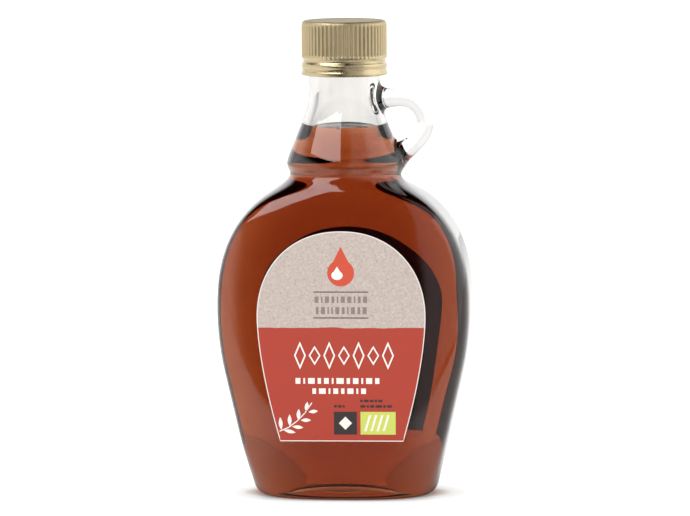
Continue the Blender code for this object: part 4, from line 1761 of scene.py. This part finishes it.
    def world(self) -> None:
        """White surroundings that mirrors, clear things and matt things each see by their own part."""
        world = bpy.data.worlds.new("studio_surroundings")
        bpy.context.scene.world = world
        world.use_nodes = True
        world.cycles.sampling_method = "NONE"
        tree = world.node_tree
        towards = add_node(tree, "ShaderNodeTexCoord").outputs["Generated"]
        part = add_node(tree, "ShaderNodeSeparateXYZ", links={0: towards})
        x, y, z = part.outputs
        away = add_node(tree, "ShaderNodeMath", {"operation": "MULTIPLY", 1: -1.0}, {0: y})
        turn = add_node(
            tree, "ShaderNodeMath", {"operation": "ARCTAN2"}, {0: x, 1: away.outputs[0]}
        ).outputs[0]
        rise = add_node(tree, "ShaderNodeMath", {"operation": "ARCSINE"}, {0: z}).outputs[0]
        behind = add_node(
            tree, "ShaderNodeMapRange",
            {
                "interpolation_type": "SMOOTHSTEP",
                "From Min": self.backdrop_side[0],
                "From Max": self.backdrop_side[1],
                "To Min": self.front_gloom,
                "To Max": self.backdrop,
            },
            {"Value": y},
        )
        below_top = add_node(
            tree, "ShaderNodeMapRange",
            {
                "interpolation_type": "SMOOTHSTEP",
                "From Min": self.backdrop_top[0],
                "From Max": self.backdrop_top[1],
            },
            {"Value": z},
        )
        mirrored = add_node(
            tree, "ShaderNodeMath", {"operation": "MULTIPLY"},
            {0: behind.outputs["Result"], 1: below_top.outputs["Result"]},
        ).outputs[0]
        for card in self.cards:
            mirrored = add_node(
                tree, "ShaderNodeMath", {"operation": "ADD"},
                {0: mirrored, 1: self.card_light(tree, card, towards, turn, rise)},
            ).outputs[0]
        sideways = add_node(tree, "ShaderNodeMath", {"operation": "ABSOLUTE"}, {0: y})
        through = add_node(
            tree, "ShaderNodeMapRange",
            {
                "interpolation_type": "SMOOTHSTEP",
                "From Min": self.seen_through_side[0],
                "From Max": self.seen_through_side[1],
                "To Min": self.seen_through_sides,
                "To Max": self.seen_through,
            },
            {"Value": sideways.outputs[0]},
        ).outputs["Result"]
        ray = add_node(tree, "ShaderNodeLightPath")
        gloss = add_node(
            tree, "ShaderNodeMath", {"operation": "MULTIPLY"},
            {0: ray.outputs["Is Glossy Ray"], 1: ray.outputs["Is Reflection Ray"]},
        )
        total = add_node(
            tree, "ShaderNodeMath", {"operation": "MULTIPLY_ADD", 1: self.ambient},
            {0: ray.outputs["Is Diffuse Ray"], 2: ray.outputs["Is Camera Ray"]},
        )
        for share, value in ((gloss.outputs[0], mirrored), (ray.outputs["Is Transmission Ray"], through)):
            total = add_node(
                tree, "ShaderNodeMath", {"operation": "MULTIPLY_ADD"},
                {0: share, 1: value, 2: total.outputs[0]},
            )
        background = tree.nodes["Background"]
        background.inputs["Color"].default_value = (1.0, 1.0, 1.0, 1.0)
        tree.links.new(total.outputs[0], background.inputs["Strength"])

    def card_light(self, tree: Tree, card: SoftCard, towards: Socket, turn: Socket, rise: Socket) -> Socket:
        """Radiance of one card by direction.

        Args:
            tree: node tree of the surroundings.
            card: the card.
            towards: the direction.
            turn: azimuth of the direction, in radians.
            rise: elevation of the direction, in radians.

        Returns:
            Socket with the radiance.
        """
        edges = [
            (turn, card.azimuth_low, card.side_softness),
            (turn, card.azimuth_high, -card.side_softness),
            (rise, card.elevation_low, card.end_softness),
            (rise, card.elevation_high, -card.end_softness),
        ]
        if card.slant is not None:
            across = add_node(
                tree, "ShaderNodeVectorMath", {"operation": "DOT_PRODUCT", 1: card.slant}, {0: towards}
            ).outputs["Value"]
            edges.append((across, 0.0, card.side_softness))
        light: Socket | None = None
        for socket, edge, softness in edges:
            ramp = add_node(
                tree, "ShaderNodeMapRange",
                {
                    "interpolation_type": "SMOOTHSTEP",
                    "From Min": math.radians(edge - softness),
                    "From Max": math.radians(edge + softness),
                    "To Max": card.radiance if light is None else 1.0,
                },
                {"Value": socket},
            ).outputs["Result"]
            if light is not None:
                ramp = add_node(
                    tree, "ShaderNodeMath", {"operation": "MULTIPLY"}, {0: light, 1: ramp}
                ).outputs[0]
            light = ramp
        return light

    def camera(self) -> bpy.types.Object:
        """Camera at the photograph's angle, a little rolled as the photograph is.

        Returns:
            The camera.
        """
        data = bpy.data.cameras.new("photo_camera")
        data.lens = self.camera_lens
        data.sensor_width = 36.0
        data.dof.use_dof = False
        camera = bpy.data.objects.new("photo_camera", data)
        a, e = self.camera_azimuth, self.camera_elevation
        back = Vector((math.sin(a) * math.cos(e), -math.cos(a) * math.cos(e), math.sin(e)))
        facing = (-back).to_track_quat("-Z", "Y").to_matrix()
        turned = facing @ Matrix.Rotation(-self.camera_roll, 3, "Z")
        place = Vector(self.camera_aim) + back * self.camera_distance
        camera.matrix_world = Matrix.Translation(place) @ turned.to_4x4()
        bpy.context.scene.collection.objects.link(camera)
        bpy.context.scene.camera = camera
        return camera

    def build(self) -> None:
        """Sets up floor, lights, surroundings and camera."""
        self.floor()
        for light in (*self.panels, *self.lamps):
            light.build()
        self.world()
        self.camera()
        view = bpy.context.scene.view_settings
        view.view_transform = "Standard"
        view.look = "None"
        LOG.info("studio: %d soft cards, %d lights", len(self.cards), len(self.panels) + len(self.lamps))


def main() -> None:
    """Builds every piece in order, then the studio."""
    logging.basicConfig(level=logging.INFO, format="%(name)s: %(message)s")
    form = GlassForm()
    Flagon(form).build()
    SyrupFill(form).build()
    RollOnCap().build()
    PaperLabel(form, Side.FRONT).build()
    PaperLabel(form, Side.BACK, widest=62.0, top=86.6, half_width=29.0, foot_half_width=22.7).build()
    Studio().build()


if __name__ == "__main__":
    main()
